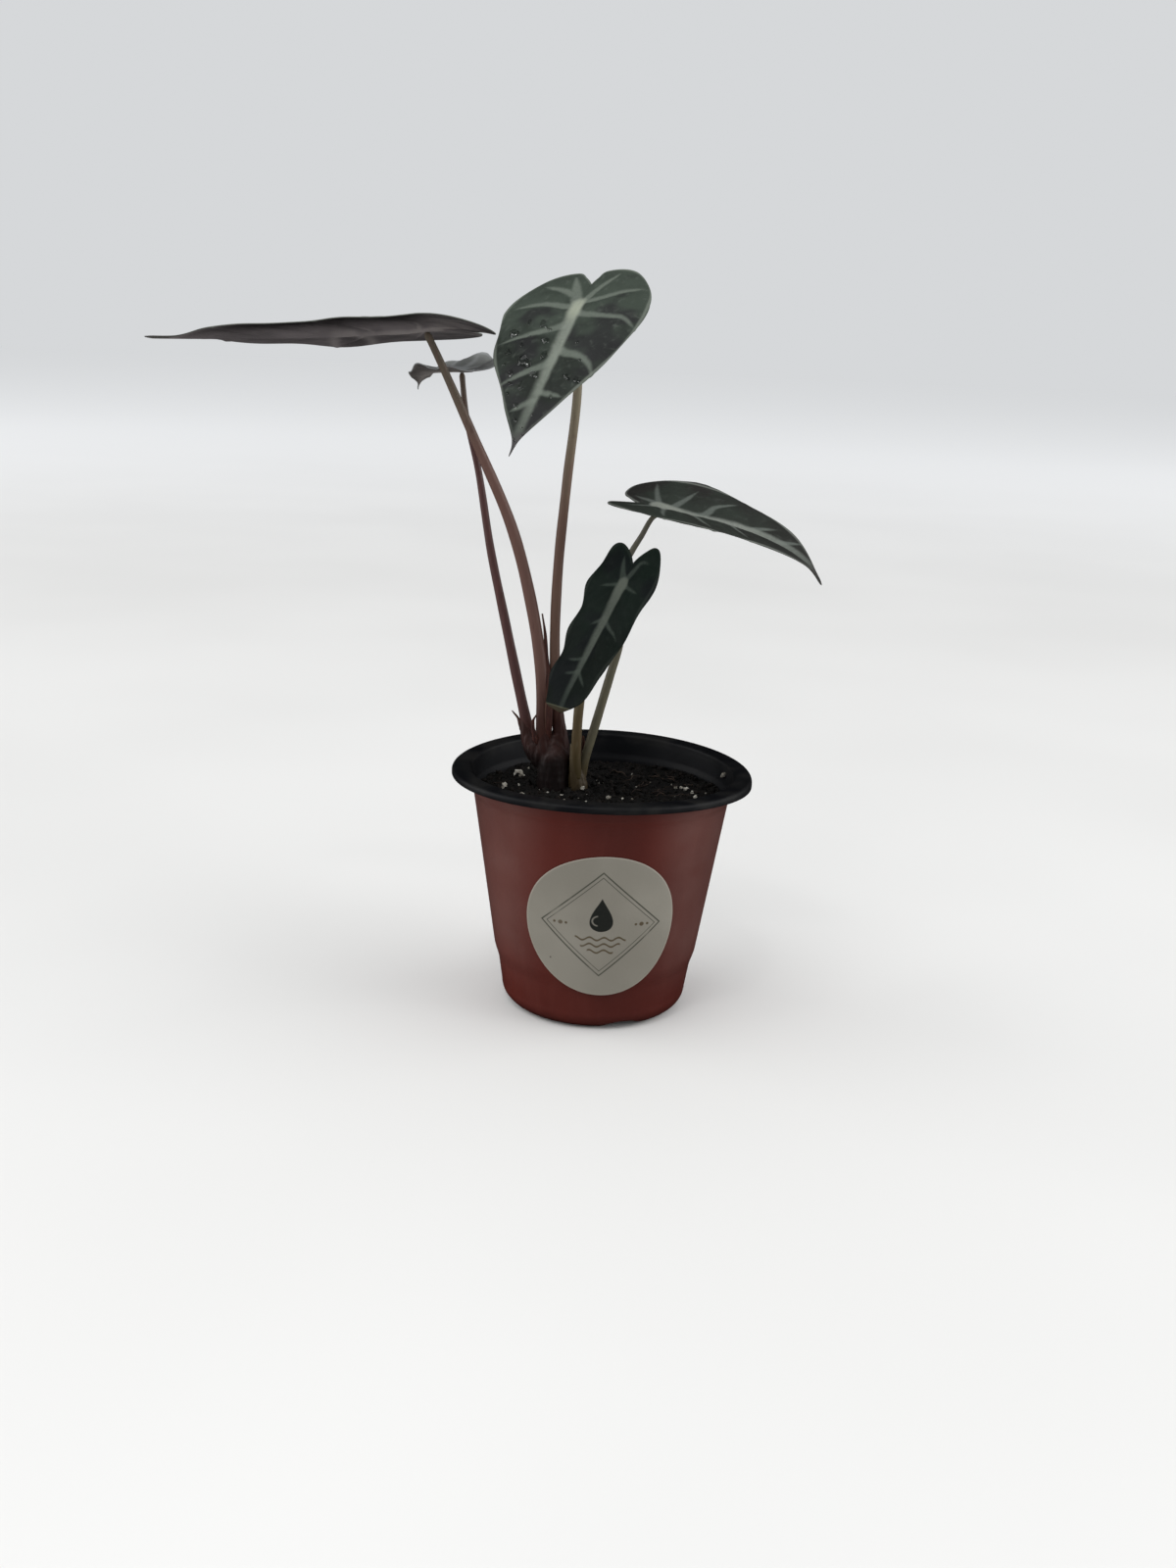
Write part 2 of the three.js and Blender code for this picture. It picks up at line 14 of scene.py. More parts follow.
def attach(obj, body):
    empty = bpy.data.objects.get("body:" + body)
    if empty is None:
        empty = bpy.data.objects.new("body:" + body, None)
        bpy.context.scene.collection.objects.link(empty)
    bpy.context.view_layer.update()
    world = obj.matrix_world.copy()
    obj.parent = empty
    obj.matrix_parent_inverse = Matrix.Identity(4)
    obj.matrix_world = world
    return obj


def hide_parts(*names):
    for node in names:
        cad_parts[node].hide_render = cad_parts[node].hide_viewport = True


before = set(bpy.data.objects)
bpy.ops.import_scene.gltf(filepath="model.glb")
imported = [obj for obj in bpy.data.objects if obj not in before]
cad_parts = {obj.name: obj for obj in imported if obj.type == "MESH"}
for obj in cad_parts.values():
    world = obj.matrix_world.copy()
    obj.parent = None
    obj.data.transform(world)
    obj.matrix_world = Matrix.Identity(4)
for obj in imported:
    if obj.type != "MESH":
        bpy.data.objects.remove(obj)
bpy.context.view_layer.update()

MM = 0.001
# Flat coordinates are stored as millimetres over this
FLAT = 100.0

# Camera: its place, its turn in degrees, and its focal length for a frame 1600 pixels high
CAMERA = {
    "place": (-3.155, -545.45, 229.2),
    "down": 15.71,
    "roll": 2.35,
    "yaw": -0.14,
    "focal": 1728.2,
    "frame_height": 1600,
    "sensor": 36.0,
}

# Pot: one formed sheet, with a flat rim that turns down at its edge
POT = {
    "height": 82.0,
    "rim_radius": 50.0,
    "rim_drop": 2.4,
    "wall": 0.8,
    "mouth_radius": 43.9,
    "foot_radius": 31.2,
    "collar_height": 74.2,
    "collar_step": 0.6,
    "collar_blend": 0.4,
    "plinth_height": 17.8,
    "plinth_step": 0.8,
    "plinth_blend": 3.2,
    "corner_radius": 6.4,
    "neck_below": 2.2,
    "under_bend": 0.9,
    "inner_bend": 0.5,
    "lip_bend": 1.2,
    "mouth_bend": 1.1,
    "mouth_lead": 0.2,
    "warp": 0.6,
    "warp_depth": 16,
    "lip_sag": 0.45,
    "sag_bearing": 95,
    "sag_spread": 0.6,
    "sides": 256,
}
NOTCH = {"count": 4, "turn": 20.0, "rise": 3.2, "width": 16.0, "reach": 8.0}

# Soil: how far its top lies below the rim, how high its lumps and its grain stand, how far it
# keeps from the pot at its top and lower down, and how far out loose things lie on it
SOIL = {
    "below": 9.2,
    "lumps": 0.8,
    "grain": 0.34,
    "grain_size": 3.2,
    "gap": 0.05,
    "low_gap": 0.3,
    "reach": 41.0,
}
# Large granules: place on the soil, radius and how far above the soil they stick
GRANULES = [
    (-28.2, 17.2, 1.6, 0), (-32.6, 2.0, 1.1, 0), (-26.2, -5.4, 0.8, 0), (-25.6, 26.8, 0.45, 0),
    (-6.3, 0.9, 0.7, 0.8), (-13.0, -6.6, 0.5, 0), (-12.0, -13.2, 0.65, 0), (-5.2, -13.8, 0.8, 0),
    (-3.6, -16.6, 1.0, 0), (2.6, -5.0, 0.7, 0), (7.2, -6.2, 0.5, 0), (11.2, 2.4, 0.45, 0),
    (25.4, 10.0, 0.7, 0), (27.2, 8.6, 0.55, 0), (28.8, 6.6, 0.8, 0), (30.6, 2.2, 0.55, 0),
    (31.4, -2.2, 0.7, 0), (22.4, -12.6, 0.5, 0), (41.4, 10.3, 1.0, 5.2),
]
# Dead roots: every second one lies in the patch, the others anywhere within reach, and none past
# the limit or close to the older corm
FIBRES = {
    "count": 26,
    "steps": 22,
    "patch": ((7, 31), (-3, 20)),
    "reach": 40,
    "limit": 37,
    "clear": 8,
    "wander": 0.34,
    "stride": (0.25, 0.75),
    "radius": (0.1, 0.24),
}

# Label: a round paper sticker on the front
LABEL = {"diameter": 50.4, "height": 39.3, "turn": 2.5, "stand": 0.08, "thickness": 0.22, "waver": 0.45}
# Its device: reach and half width of the lozenge's lines, middle, half height and width of the
# drop, level and reach of the waves, and radius and place of the beads at each side
DEVICE = {
    "blur": 0.14,
    "middle": 0.5,
    "slant": 1.05,
    "lozenge": ((19.6, 0.3), (17.8, 0.14)),
    "drop": (4.2, 6.2, 5.6),
    "waves": ((-4.6, 8.2), (-6.9, 6.4), (-9.2, 4.2)),
    "beads": ((0.75, 13.2), (0.45, 15.2), (0.45, 11.3)),
}

# Corms: axis, radius and heights of the short stems
CORM = {"x": -16.3, "y": 6.0, "radius": 5.5, "foot": 52.0, "scar": 84.5, "top": 91.0}
OFFSET_CORM = {"x": -7.4, "y": 4.0, "radius": 2.7, "foot": 60.0, "scar": 75.5, "top": 79.5}

# Leaves: blade sizes along and across the midrib, how it bends, and the stalk below its hub.
# azimuth 0 points along +X and 90 along +Y; dip tips the midrib down; roll lifts the left side.
# A nudge is a side, a share of the margin and how far it goes out and up there, and the bulge is
# a place along and across, its reach and its depth.
LEAVES = {
    "long": {
        "hub": (-61, 2, 220.9), "azimuth": 179, "dip": 3, "roll": 12,
        "length": 89, "lobe": 20, "notch": 15, "half_width": 21.9,
        "skew": 0.16, "lobe_spread": (0.41, 0.41), "fullness": -0.05, "tip_width": 0.045, "tip_start": 0.85,
        "droop": 2, "tip_curl": 0, "lobe_droop": 13, "twist": 6,
        "fold_left": 5, "fold_right": 8, "curl": 0.2, "sweep": -4.9,
        "ripple": 0.4, "ripples": (4, 4), "phases": (60, -60), "scallop": 0.02, "quilt": 0.35,
        "bulge": (31, -17, 12, 0.8),
        "nudges": [(1, 0.55, 0, -0.9), (1, 0.87, 1.4, 0.8), (1, 0.09, 0, -1.0)],
        "stalk": [(-20.3, 5, 89), (-21.7, 4.6, 114.2), (-26.7, 4.2, 140.2), (-33, 3.5, 161.1),
                  (-45.2, 2.9, 187.7), (-56, 2.3, 210.3)],
        "stalk_radii": (2.05, 1.05), "taper": 2.2,
    },
    "small": {
        "hub": (-50.9, 18, 208), "azimuth": 125.5, "dip": -2, "roll": -5.4,
        "length": 32, "lobe": 15.2, "notch": 7, "half_width": 10.2,
        "skew": 0, "lobe_spread": (0.44, 0.44), "fullness": 0, "tip_width": 0.07, "tip_start": 0.84,
        "droop": 36, "tip_curl": 10, "lobe_droop": -11, "twist": 2,
        "fold_left": 3, "fold_right": 12.5, "curl": -0.3, "sweep": 2.9,
        "ripple": 0.7, "ripples": (4, 4), "phases": (0, 120), "scallop": 0.03, "quilt": 0.25,
        "stalk": [(-24.9, 8, 89.5), (-29.4, 9.3, 107.6), (-34.4, 11.1, 128.3), (-39.7, 13, 150.6),
                  (-44.7, 15.3, 177), (-49, 16.8, 193.7)],
        "stalk_radii": (1.8, 0.85), "taper": 1.2,
    },
    "broad": {
        "hub": (-14, -5, 228.3), "azimuth": -113, "dip": 33.4, "roll": 0,
        "length": 61.5, "lobe": 18.4, "notch": 13.5, "half_width": 24.8,
        "skew": 0, "lobe_spread": (0.18, 0.25), "fullness": -0.22, "tip_width": 0.11,
        "droop": 22.7, "tip_curl": 0, "lobe_droop": -6, "twist": -6,
        "fold_left": 16, "fold_right": 3.6, "curl": 0.35, "sweep": 1.9,
        "ripple": 0.3, "ripples": (3.4, 3.4), "phases": (-40, 71), "scallop": 0.025, "quilt": 0.6,
        "stalk": [(-15.1, 7, 89), (-17.3, 5.7, 119.4), (-17.1, 4.1, 147), (-15.2, 2.1, 175.1),
                  (-12.8, -0.6, 204.7)],
        "stalk_radii": (1.7, 1.2), "taper": 2.2,
    },
    "arching": {
        "hub": (16.3, 5, 167.6), "azimuth": -15.2, "dip": 9.4, "roll": 3.6,
        "length": 58, "lobe": 15.7, "notch": 8.8, "half_width": 19.4,
        "skew": -0.06, "lobe_spread": (0.3, 0.3), "fullness": 0, "tip_width": 0.07,
        "droop": 19, "tip_curl": 36, "lobe_droop": 7, "twist": 3.5,
        "fold_left": 18.2, "fold_right": 4, "curl": 0.03, "sweep": 3.9,
        "ripple": 0.1, "ripples": (2.4, 3.6), "phases": (104, -172), "scallop": 0.07, "quilt": 0.35,
        "stalk": [(-7.4, 5, 76.5), (-5.8, 5, 83.5), (-2.9, 5, 94.9), (1.3, 5, 111.8), (3.8, 5, 122),
                  (4.6, 5, 131), (4.2, 5, 141), (4.5, 5, 149), (6.6, 5, 153.4), (9.5, 5, 158.5),
                  (12.8, 5, 164.5)],
        "stalk_radii": (1.55, 0.72), "taper": 2,
    },
    "narrow": {
        "hub": (4.3, -14, 145.6), "azimuth": -138.9, "dip": 61.5, "roll": -1.6,
        "length": 45.7, "lobe": 13.1, "notch": 7.3, "half_width": 14.1,
        "skew": 0.03, "lobe_spread": (0.5, 0.5), "fullness": 1.3, "tip_width": 0.4, "blunt": 0.56,
        "droop": -13, "tip_curl": 20, "lobe_droop": 0, "twist": 9.4,
        "fold_left": 8.8, "fold_right": 9.4, "curl": 0.2, "sweep": -1.1,
        "ripple": 0.3, "ripples": (2.7, 5), "phases": (100, 180), "scallop": 0.075, "quilt": 0.4,
        "nudges": [(-1, 0.54, -1.2, 0), (-1, 0.17, -1.2, 0), (1, 0.56, 1.1, 0), (1, 0.43, -0.7, 0)],
        "stalk": [(-8.7, 3, 77), (-8.9, 1.1, 91), (-8.3, -1.3, 104.5), (-6.2, -4.2, 119.9),
                  (0.1, -8.9, 137.1)],
        "stalk_radii": (1.65, 1.2), "taper": 2,
    },
}

# Veins, as points of the flat blade in shares of the length and the half width, each with the
# width of its pale band where it starts and where it ends
VEINS = {
    "broad": [
        (3.6, 1.9, [(-0.05, 0), (0.3, 0), (1, 0)]),
        (2.2, 1.0, [(0, 0), (-0.14, 0.16), (-0.25, 0.40)]),
        (1.5, 0.8, [(-0.05, 0.07), (-0.06, 0.3), (-0.10, 0.57), (-0.13, 0.86)]),
        (1.9, 0.8, [(0.03, 0), (0.07, 0.18), (0.10, 0.48), (0.12, 0.76), (0.19, 0.95)]),
        (2.4, 0.8, [(0.33, 0), (0.37, 0.16), (0.40, 0.38), (0.46, 0.56), (0.53, 0.66)]),
        (1.2, 0.5, [(0.62, 0), (0.64, 0.14), (0.66, 0.38)]),
        (3.2, 1.5, [(0, 0), (-0.13, -0.12), (-0.26, -0.25)]),
        (1.8, 0.6, [(-0.10, -0.10), (-0.15, -0.30), (-0.20, -0.64)]),
        (2.1, 0.7, [(-0.02, 0), (-0.01, -0.15), (-0.03, -0.45), (-0.02, -0.9)]),
        (2.3, 0.8, [(0.12, 0), (0.17, -0.12), (0.22, -0.39), (0.30, -0.86)]),
        (2.0, 0.7, [(0.40, 0), (0.45, -0.08), (0.51, -0.27), (0.61, -0.57)]),
        (1.3, 0.5, [(0.68, 0), (0.71, -0.09), (0.76, -0.23)]),
    ],
    "arching": [
        (5.0, 2.5, [(-0.04, 0.01), (0.11, -0.07), (0.24, -0.08), (0.36, -0.03), (0.5, 0.01),
                    (0.7, 0.03), (1, 0)]),
        (1.9, 0.8, [(0, 0), (-0.06, 0.11), (-0.13, 0.16), (-0.20, 0.23)]),
        (1.8, 0.6, [(-0.02, 0), (-0.05, 0.18), (-0.09, 0.5), (-0.12, 0.85)]),
        (2.1, 0.6, [(0.03, 0), (0.05, 0.12), (0.08, 0.38), (0.12, 0.80)]),
        (2.5, 0.6, [(0.16, -0.04), (0.22, 0.06), (0.25, 0.36), (0.31, 0.54), (0.37, 0.70)]),
        (2.2, 0.5, [(0.45, 0.02), (0.50, 0.08), (0.56, 0.22), (0.63, 0.38)]),
        (1.5, 0.4, [(0.66, 0.03), (0.73, 0.2), (0.78, 0.34)]),
        (2.0, 0.8, [(0, 0), (-0.06, -0.1), (-0.12, -0.32), (-0.19, -0.55)]),
        (1.2, 0.5, [(0, 0), (0.02, -0.3), (0.04, -0.6), (0.08, -0.94)]),
        (1.4, 0.4, [(0.14, -0.08), (0.2, -0.3), (0.26, -0.55), (0.34, -0.84)]),
        (1.0, 0.4, [(0.36, 0), (0.4, -0.16), (0.47, -0.4), (0.54, -0.6)]),
    ],
    "narrow": [
        (4.0, 2.2, [(0, 0), (0.5, 0), (1, 0)]),
        (2.4, 0.2, [(0, 0), (-0.1, 0.17), (-0.17, 0.32), (-0.165, 0.66)]),
        (1.0, 0.3, [(0.01, 0), (0.03, 0.29), (0.06, 0.7)]),
        (1.0, 0.2, [(0.27, 0), (0.32, 0.22), (0.38, 0.6), (0.44, 0.84)]),
        (0.9, 0.3, [(0.68, 0), (0.72, 0.18), (0.81, 0.60)]),
        (2.4, 0.5, [(0, 0), (-0.09, -0.16), (-0.21, -0.31)]),
        (1.0, 0.4, [(0.01, 0), (0.02, -0.22), (0.06, -0.66)]),
        (0.9, 0.2, [(0.25, 0), (0.29, -0.12), (0.35, -0.4)]),
        (0.7, 0.3, [(0.58, 0), (0.61, -0.28), (0.62, -0.58)]),
        (0.9, 0.3, [(0.68, 0), (0.70, -0.1), (0.73, -0.45)]),
    ],
}
# Where the veins hardly show they are plain, the same on both sides of the midrib
PLAIN_SIDE = [
    (1.6, 0.7, [(0, 0), (-0.09, 0.14), (-0.16, 0.28), (-0.21, 0.42)]),
    (1.3, 0.5, [(0.02, 0), (0.02, 0.3), (0.04, 0.6), (0.08, 0.92)]),
    (1.3, 0.5, [(0.18, 0), (0.22, 0.22), (0.28, 0.52), (0.36, 0.82)]),
    (1.2, 0.5, [(0.38, 0), (0.42, 0.16), (0.48, 0.36), (0.55, 0.54)]),
    (1.0, 0.4, [(0.58, 0), (0.62, 0.1), (0.68, 0.24), (0.74, 0.34)]),
]
PLAIN_VEINS = [(2.6, 1.0, [(-0.05, 0), (0.3, 0), (1, 0)])]
for start, end, points in PLAIN_SIDE:
    PLAIN_VEINS += [(start, end, [(along, side * across) for along, across in points]) for side in (1, -1)]

# Water drops on the broad blade: place along and across the midrib, radius and how long they are
DROPS = [
    (13.2, -17.1, 1.7, 1.3), (9.0, -8.5, 0.8, 2.6), (11.0, -6.2, 0.75, 2.2), (17.4, -4.8, 1.1, 1.5),
    (23.3, -15.3, 0.9, 1.9), (27.1, -8.5, 1.9, 1.6), (23.7, -3.1, 1.0, 1.9), (32.1, -3.4, 1.0, 2.3),
    (32.1, -11.3, 0.9, 1.8), (34.6, 12.3, 1.1, 1.2), (58.0, 0.5, 0.4, 1.3), (56.0, -0.6, 0.5, 1.5),
    (54.4, 1.6, 0.5, 1.3), (28.3, -14.7, 0.6, 1.6), (8.2, -13.3, 0.7, 2.2), (37.1, -5.8, 0.8, 2.2),
    (35.9, -9.9, 0.7, 1.8), (40.5, 5.5, 0.6, 1.8), (33.4, 8.2, 0.8, 2.1), (44.3, -4.6, 0.7, 1.7),
    (26.2, 10.2, 0.6, 1.8), (20.0, -11.8, 0.6, 1.8), (47.0, 2.0, 0.6, 1.5), (15.0, -11.0, 0.5, 1.9),
    (49.5, -2.6, 0.5, 1.9), (51.8, 0.4, 0.45, 1.6), (18.6, 6.6, 0.5, 1.7), (40.0, -9.0, 0.5, 1.6),
]

# Blade: thickness in the middle and at the margin, ribs and veins below, the channel above, how
# veins bow forward, how its ends close, where its stalk ends below it, and the mesh's grain
BLADE = {
    "usual_half_width": 22.0,
    "half_thickness": 0.33,
    "margin_share": 0.45,
    "rib_depth": 1.0,
    "rib_reach": 1.1,
    "vein_depth": 0.3,
    "vein_reach": 0.8,
    "channel": 0.22,
    "bow": 0.4,
    "closing": 0.06,
    "stalk_depth": 0.85,
    "grain": 0.42,
}
# Shares of the margin between which its lines start at the hub, how far round the hub they start
# as a share of the length, and how far along the margin a nudge reaches
HUB_SHARE = (0.12, 0.4)
HUB_REACH = 0.03
NUDGE_REACH = 0.06

# Sheaths: flared feet of the stalks, each ending inside the stalk that rises out of it
SHEATHS = [
    {"path": [(-17.2, 5.6, 80), (-19.4, 5.2, 86), (-20.35, 5.0, 92), (-20.9, 4.8, 99)],
     "radii": (3.6, 1.75)},
    {"path": [(-19, 7.2, 81.5), (-23.3, 7.8, 86), (-25.8, 8.2, 91), (-27.2, 8.5, 99)],
     "radii": (4.4, 1.6)},
    {"path": [(-15, 6.6, 80), (-14.5, 7, 87), (-14.9, 6.9, 93), (-15.8, 6.7, 102)],
     "radii": (3.6, 1.75)},
]
OFFSET_SHEATHS = [
    {"path": [(-7.9, 4.6, 70), (-7.4, 5, 76.5), (-6.1, 5, 82.5), (-4.35, 5, 89.5)],
     "radii": (2.4, 1.2)},
    {"path": [(-8.2, 3.6, 70), (-9.0, 3, 77), (-9.6, 2.3, 83.5), (-9.6, 1.7, 89)],
     "radii": (2.4, 1.3)},
]
# Scales: dry leftovers of older leaves. radii are those of the gutter at its foot and its tip,
# facing is the way its back turns, and open is how far it reaches round on each side.
SCALES = [
    {"path": [(-18.6, 4.6, 89), (-18.7, 3.9, 97), (-19.0, 4.3, 107), (-20.1, 4.9, 118),
              (-20.9, 5.6, 126), (-21.9, 6.2, 131.6)],
     "radii": (1.75, 0.2), "facing": -35, "open": 95},
    {"path": [(-24.6, 8.0, 88.5), (-27.3, 8.6, 91.4), (-28.7, 9.0, 95.0), (-31, 9.6, 97.6)],
     "radii": (1.15, 0.18), "facing": 165, "open": 115},
    {"path": [(-22.0, 4.0, 87.5), (-23.3, 3.4, 92), (-23.6, 3.0, 96), (-22.6, 2.4, 98.2)],
     "radii": (1.0, 0.16), "facing": -110, "open": 100},
    {"path": [(-6.3, 6.6, 75), (-6.6, 6.8, 80), (-6.4, 6.9, 86), (-6.9, 7.0, 90.5)],
     "radii": (1.5, 0.3), "facing": 80, "open": 80},
]
SCALE_THICKNESS = 0.12

# Stage. Lamps: place, the point they face, size and power in watts
LAMPS = {
    "key": ((-0.45, -0.8, 1.1), (0, 0, 0.12), 0.7, 4.2),
    "spark": ((-0.2, -0.7, 1.3), (0, 0, 0.2), 0.1, 0.7),
    "fill": ((0.8, -0.5, 0.7), (0, 0, 0.12), 0.6, 1.5),
    "left_side": ((-2.6, 0.0, 0.85), (0, 0, 0.06), 2.8, 45.0),
    "right_side": ((2.6, 0.0, 0.85), (0, 0, 0.06), 2.8, 45.0),
}
SKY = {"colour": (0.96, 0.98, 1.0, 1.0), "strength": 0.7}
# Half of the floor's side
FLOOR_HALF = 6.0


# Numbers on arrays

def lerp(a, b, share):
    return a + (b - a) * share


def smoothstep(value, low, high):
    share = np.clip((value - low) / (high - low), 0, 1)
    return share * share * (3 - 2 * share)


def bell(distance, width):
    """One at no distance, falling to 1/e at the width."""
    return np.exp(-(distance / width) ** 2)


def circle(count):
    """Even angles once round."""
    return np.linspace(0, 2 * math.pi, count, endpoint=False)


def unit(vectors):
    return vectors / np.linalg.norm(vectors, axis=-1, keepdims=True)


def curve_through(points, count, evenness=0.5, ends=1.0):
    """Cubic pieces through the points, with tangents from their neighbours, read at count places
    evenly spaced along its length. evenness 0 gives uniform knots and 0.5 centripetal ones; ends
    says how far the first and last chords are carried on past the ends."""
    points = np.asarray(points, float)
    before = points[0] - ends * (points[1] - points[0])
    after = points[-1] + ends * (points[-1] - points[-2])
    knots = np.vstack([before, points, after])
    strides = np.linalg.norm(np.diff(knots, axis=0), axis=1)[:, None] ** evenness
    p0, p1, p2, p3 = knots[:-3], knots[1:-2], knots[2:-1], knots[3:]
    d0, d1, d2 = strides[:-2], strides[1:-1], strides[2:]
    start = ((p1 - p0) / d0 - (p2 - p0) / (d0 + d1) + (p2 - p1) / d1) * d1
    end = ((p2 - p1) / d1 - (p3 - p1) / (d1 + d2) + (p3 - p2) / d2) * d1
    t = np.linspace(0, 1, 60)[None, :, None]
    p1, p2, start, end = (v[:, None] for v in (p1, p2, start, end))
    square, cube = t * t, t * t * t
    dense = ((2 * cube - 3 * square + 1) * p1 + (cube - 2 * square + t) * start
             + (3 * square - 2 * cube) * p2 + (cube - square) * end).reshape(-1, points.shape[1])
    run = np.concatenate([[0], np.cumsum(np.linalg.norm(np.diff(dense, axis=0), axis=1))])
    even = np.linspace(0, run[-1], count)
    return np.stack([np.interp(even, run, column) for column in dense.T], -1)


def roughness_at(points, size, seed, octaves=3):
    """A smooth random field: sums of sine waves in random directions, whose lengths start at size
    and halve with each octave, as do their heights. About -1 to 1."""
    draw = np.random.default_rng(seed)
    total = np.zeros(points.shape[:-1])
    for octave in range(octaves):
        waves = draw.normal(size=(9, points.shape[-1])) * (2 ** octave * 2 * math.pi / size / 1.7)
        shifts = draw.uniform(0, 2 * math.pi, 9)
        total += np.sin(points @ waves.T + shifts).sum(-1) / (2.2 * 2 ** octave)
    return total / 1.6


def distance_to_path(points, path):
    """Distance from each flat point to a path of straight pieces, and the nearest place's share
    of the path's length."""
    start, stride = path[:-1], np.diff(path, axis=0)
    lengths = np.maximum((stride ** 2).sum(-1), 1e-12)
    offset = points[..., None, :] - start
    along = np.clip((offset * stride).sum(-1) / lengths, 0, 1)
    gaps = np.linalg.norm(offset - along[..., None] * stride, axis=-1)
    nearest = gaps.argmin(-1)[..., None]
    place = nearest + np.take_along_axis(along, nearest, -1)
    return gaps.min(-1), place[..., 0] / len(stride)


# Meshes

def ring_faces(rows, columns, first=0):
    """Quads between successive closed rings of points."""
    row = np.arange(rows - 1)[:, None] * columns + first
    here = np.arange(columns)
    after = (here + 1) % columns
    corners = [row + here, row + after, row + columns + after, row + columns + here]
    return np.stack(corners, -1).reshape(-1, 4)


def capped(grid):
    """A grid of rings with each end drawn to its middle point, which closes it."""
    ends = [np.broadcast_to(ring.mean(0), ring.shape)[None] for ring in (grid[0], grid[-1])]
    return np.concatenate([ends[0], grid, ends[1]])


def joined(*grids):
    """The points and faces of one or more grids of rings, in one list each."""
    points, faces, first = [], [], 0
    for grid in grids:
        rows, columns = grid.shape[:2]
        points.append(grid.reshape(-1, 3))
        faces.append(ring_faces(rows, columns, first))
        first += rows * columns
    return np.concatenate(points), np.concatenate(faces)


def add_piece(name, points, faces, finishes, slot=None, fields=None, flat=None, face_finish=None):
    """Puts the points, in millimetres, and faces into a mesh with its fields and flat coordinates,
    merges what coincides, turns the faces outwards and lets the piece ride on the plant's body.
    face_finish is each face's place in the list of finishes."""
    mesh = bpy.data.meshes.new(name)
    mesh.from_pydata(points * MM, [], faces)
    for key, values in (fields or {}).items():
        mesh.attributes.new(key, "FLOAT", "POINT").data.foreach_set("value", values.astype(np.float32))
    if flat is not None:
        corners = np.zeros(len(mesh.loops), np.int32)
        mesh.loops.foreach_get("vertex_index", corners)
        layer = mesh.uv_layers.new(name="flat")
        layer.data.foreach_set("uv", (flat / FLAT)[corners].astype(np.float32).ravel())
    if face_finish is not None:
        mesh.polygons.foreach_set("material_index", face_finish.astype(np.int32))
    work = bmesh.new()
    work.from_mesh(mesh)
    bmesh.ops.remove_doubles(work, verts=work.verts, dist=1e-7)
    bmesh.ops.recalc_face_normals(work, faces=work.faces)
    work.to_mesh(mesh)
    work.free()
    mesh.shade_smooth()
    for finish in finishes:
        mesh.materials.append(finish)
    piece = bpy.data.objects.new(name, mesh)
    bpy.context.scene.collection.objects.link(piece)
    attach(piece, "root")
    return piece


def applied(piece):
    """Works the piece's modifiers into its mesh, which it returns."""
    graph = bpy.context.evaluated_depsgraph_get()
    mesh = bpy.data.meshes.new_from_object(piece.evaluated_get(graph))
    piece.modifiers.clear()
    piece.data = mesh
    return mesh


def sweep(path, radii, sides, shape=None, level=(0, 1, 0)):
    """Rings of points round a path: each is a circle of the given radius square to the path,
    which shape may press or fold, as a function of the share along and the angle round. level is
    a direction that the path never takes."""
    tangents = unit(np.gradient(path, axis=0))
    across = unit(np.cross(tangents, level))
    up = np.cross(across, tangents)
    share = np.linspace(0, 1, len(path))[:, None]
    angle = circle(sides)[None]
    reach = np.asarray(radii, float)[:, None] * (1 if shape is None else shape(share, angle))
    ring = across[:, None] * np.cos(angle)[..., None] + up[:, None] * np.sin(angle)[..., None]
    return path[:, None] + ring * reach[..., None]


def turned(profile, sides):
    """A profile of radius and height, turned round the z axis."""
    angle = circle(sides)
    radius, height = profile[:, :1], profile[:, 1:]
    return np.stack([radius * np.sin(angle), -radius * np.cos(angle), height + 0 * angle], -1)


# Shader maths

def colour(code):
    """Linear colour of a hex code."""
    values = [int(code[i:i + 2], 16) / 255 for i in (1, 3, 5)]
    return (*(v / 12.92 if v <= 0.04045 else ((v + 0.055) / 1.055) ** 2.4 for v in values), 1.0)


class Value:
    """A shader socket that can be reckoned with: each operator adds a Math node."""

    def __init__(self, finish, socket):
        self.finish = finish
        self.socket = socket

    def maths(self, operation, *values):
        return self.finish.node("ShaderNodeMath", {"operation": operation}, dict(enumerate(values)))

    def __add__(self, other):
        return self.maths("ADD", self, other)

    def __sub__(self, other):
        return self.maths("SUBTRACT", self, other)

    def __rsub__(self, other):
        return self.maths("SUBTRACT", other, self)

    def __mul__(self, other):
        return self.maths("MULTIPLY", self, other)

    def __truediv__(self, other):
        return self.maths("DIVIDE", self, other)

    def __pow__(self, other):
        return self.maths("POWER", self, other)

    def __abs__(self):
        return self.maths("ABSOLUTE", self)

    def least(self, other):
        return self.maths("MINIMUM", self, other)

    def most(self, other):
        return self.maths("MAXIMUM", self, other)

    def sine(self):
        return self.maths("SINE", self)

    def hypot(self, other):
        return (self ** 2.0 + other ** 2.0) ** 0.5

    def over(self, low, high):
        """0 below low, 1 above high and smooth between; the other way round where low is larger."""
        settings = {"interpolation_type": "SMOOTHSTEP"}
        sockets = {"Value": self, "From Min": min(low, high), "From Max": max(low, high)}
        sockets.update({"To Min": float(low > high), "To Max": float(low < high)})
        return self.finish.node("ShaderNodeMapRange", settings, sockets)

    __radd__ = __add__
    __rmul__ = __mul__


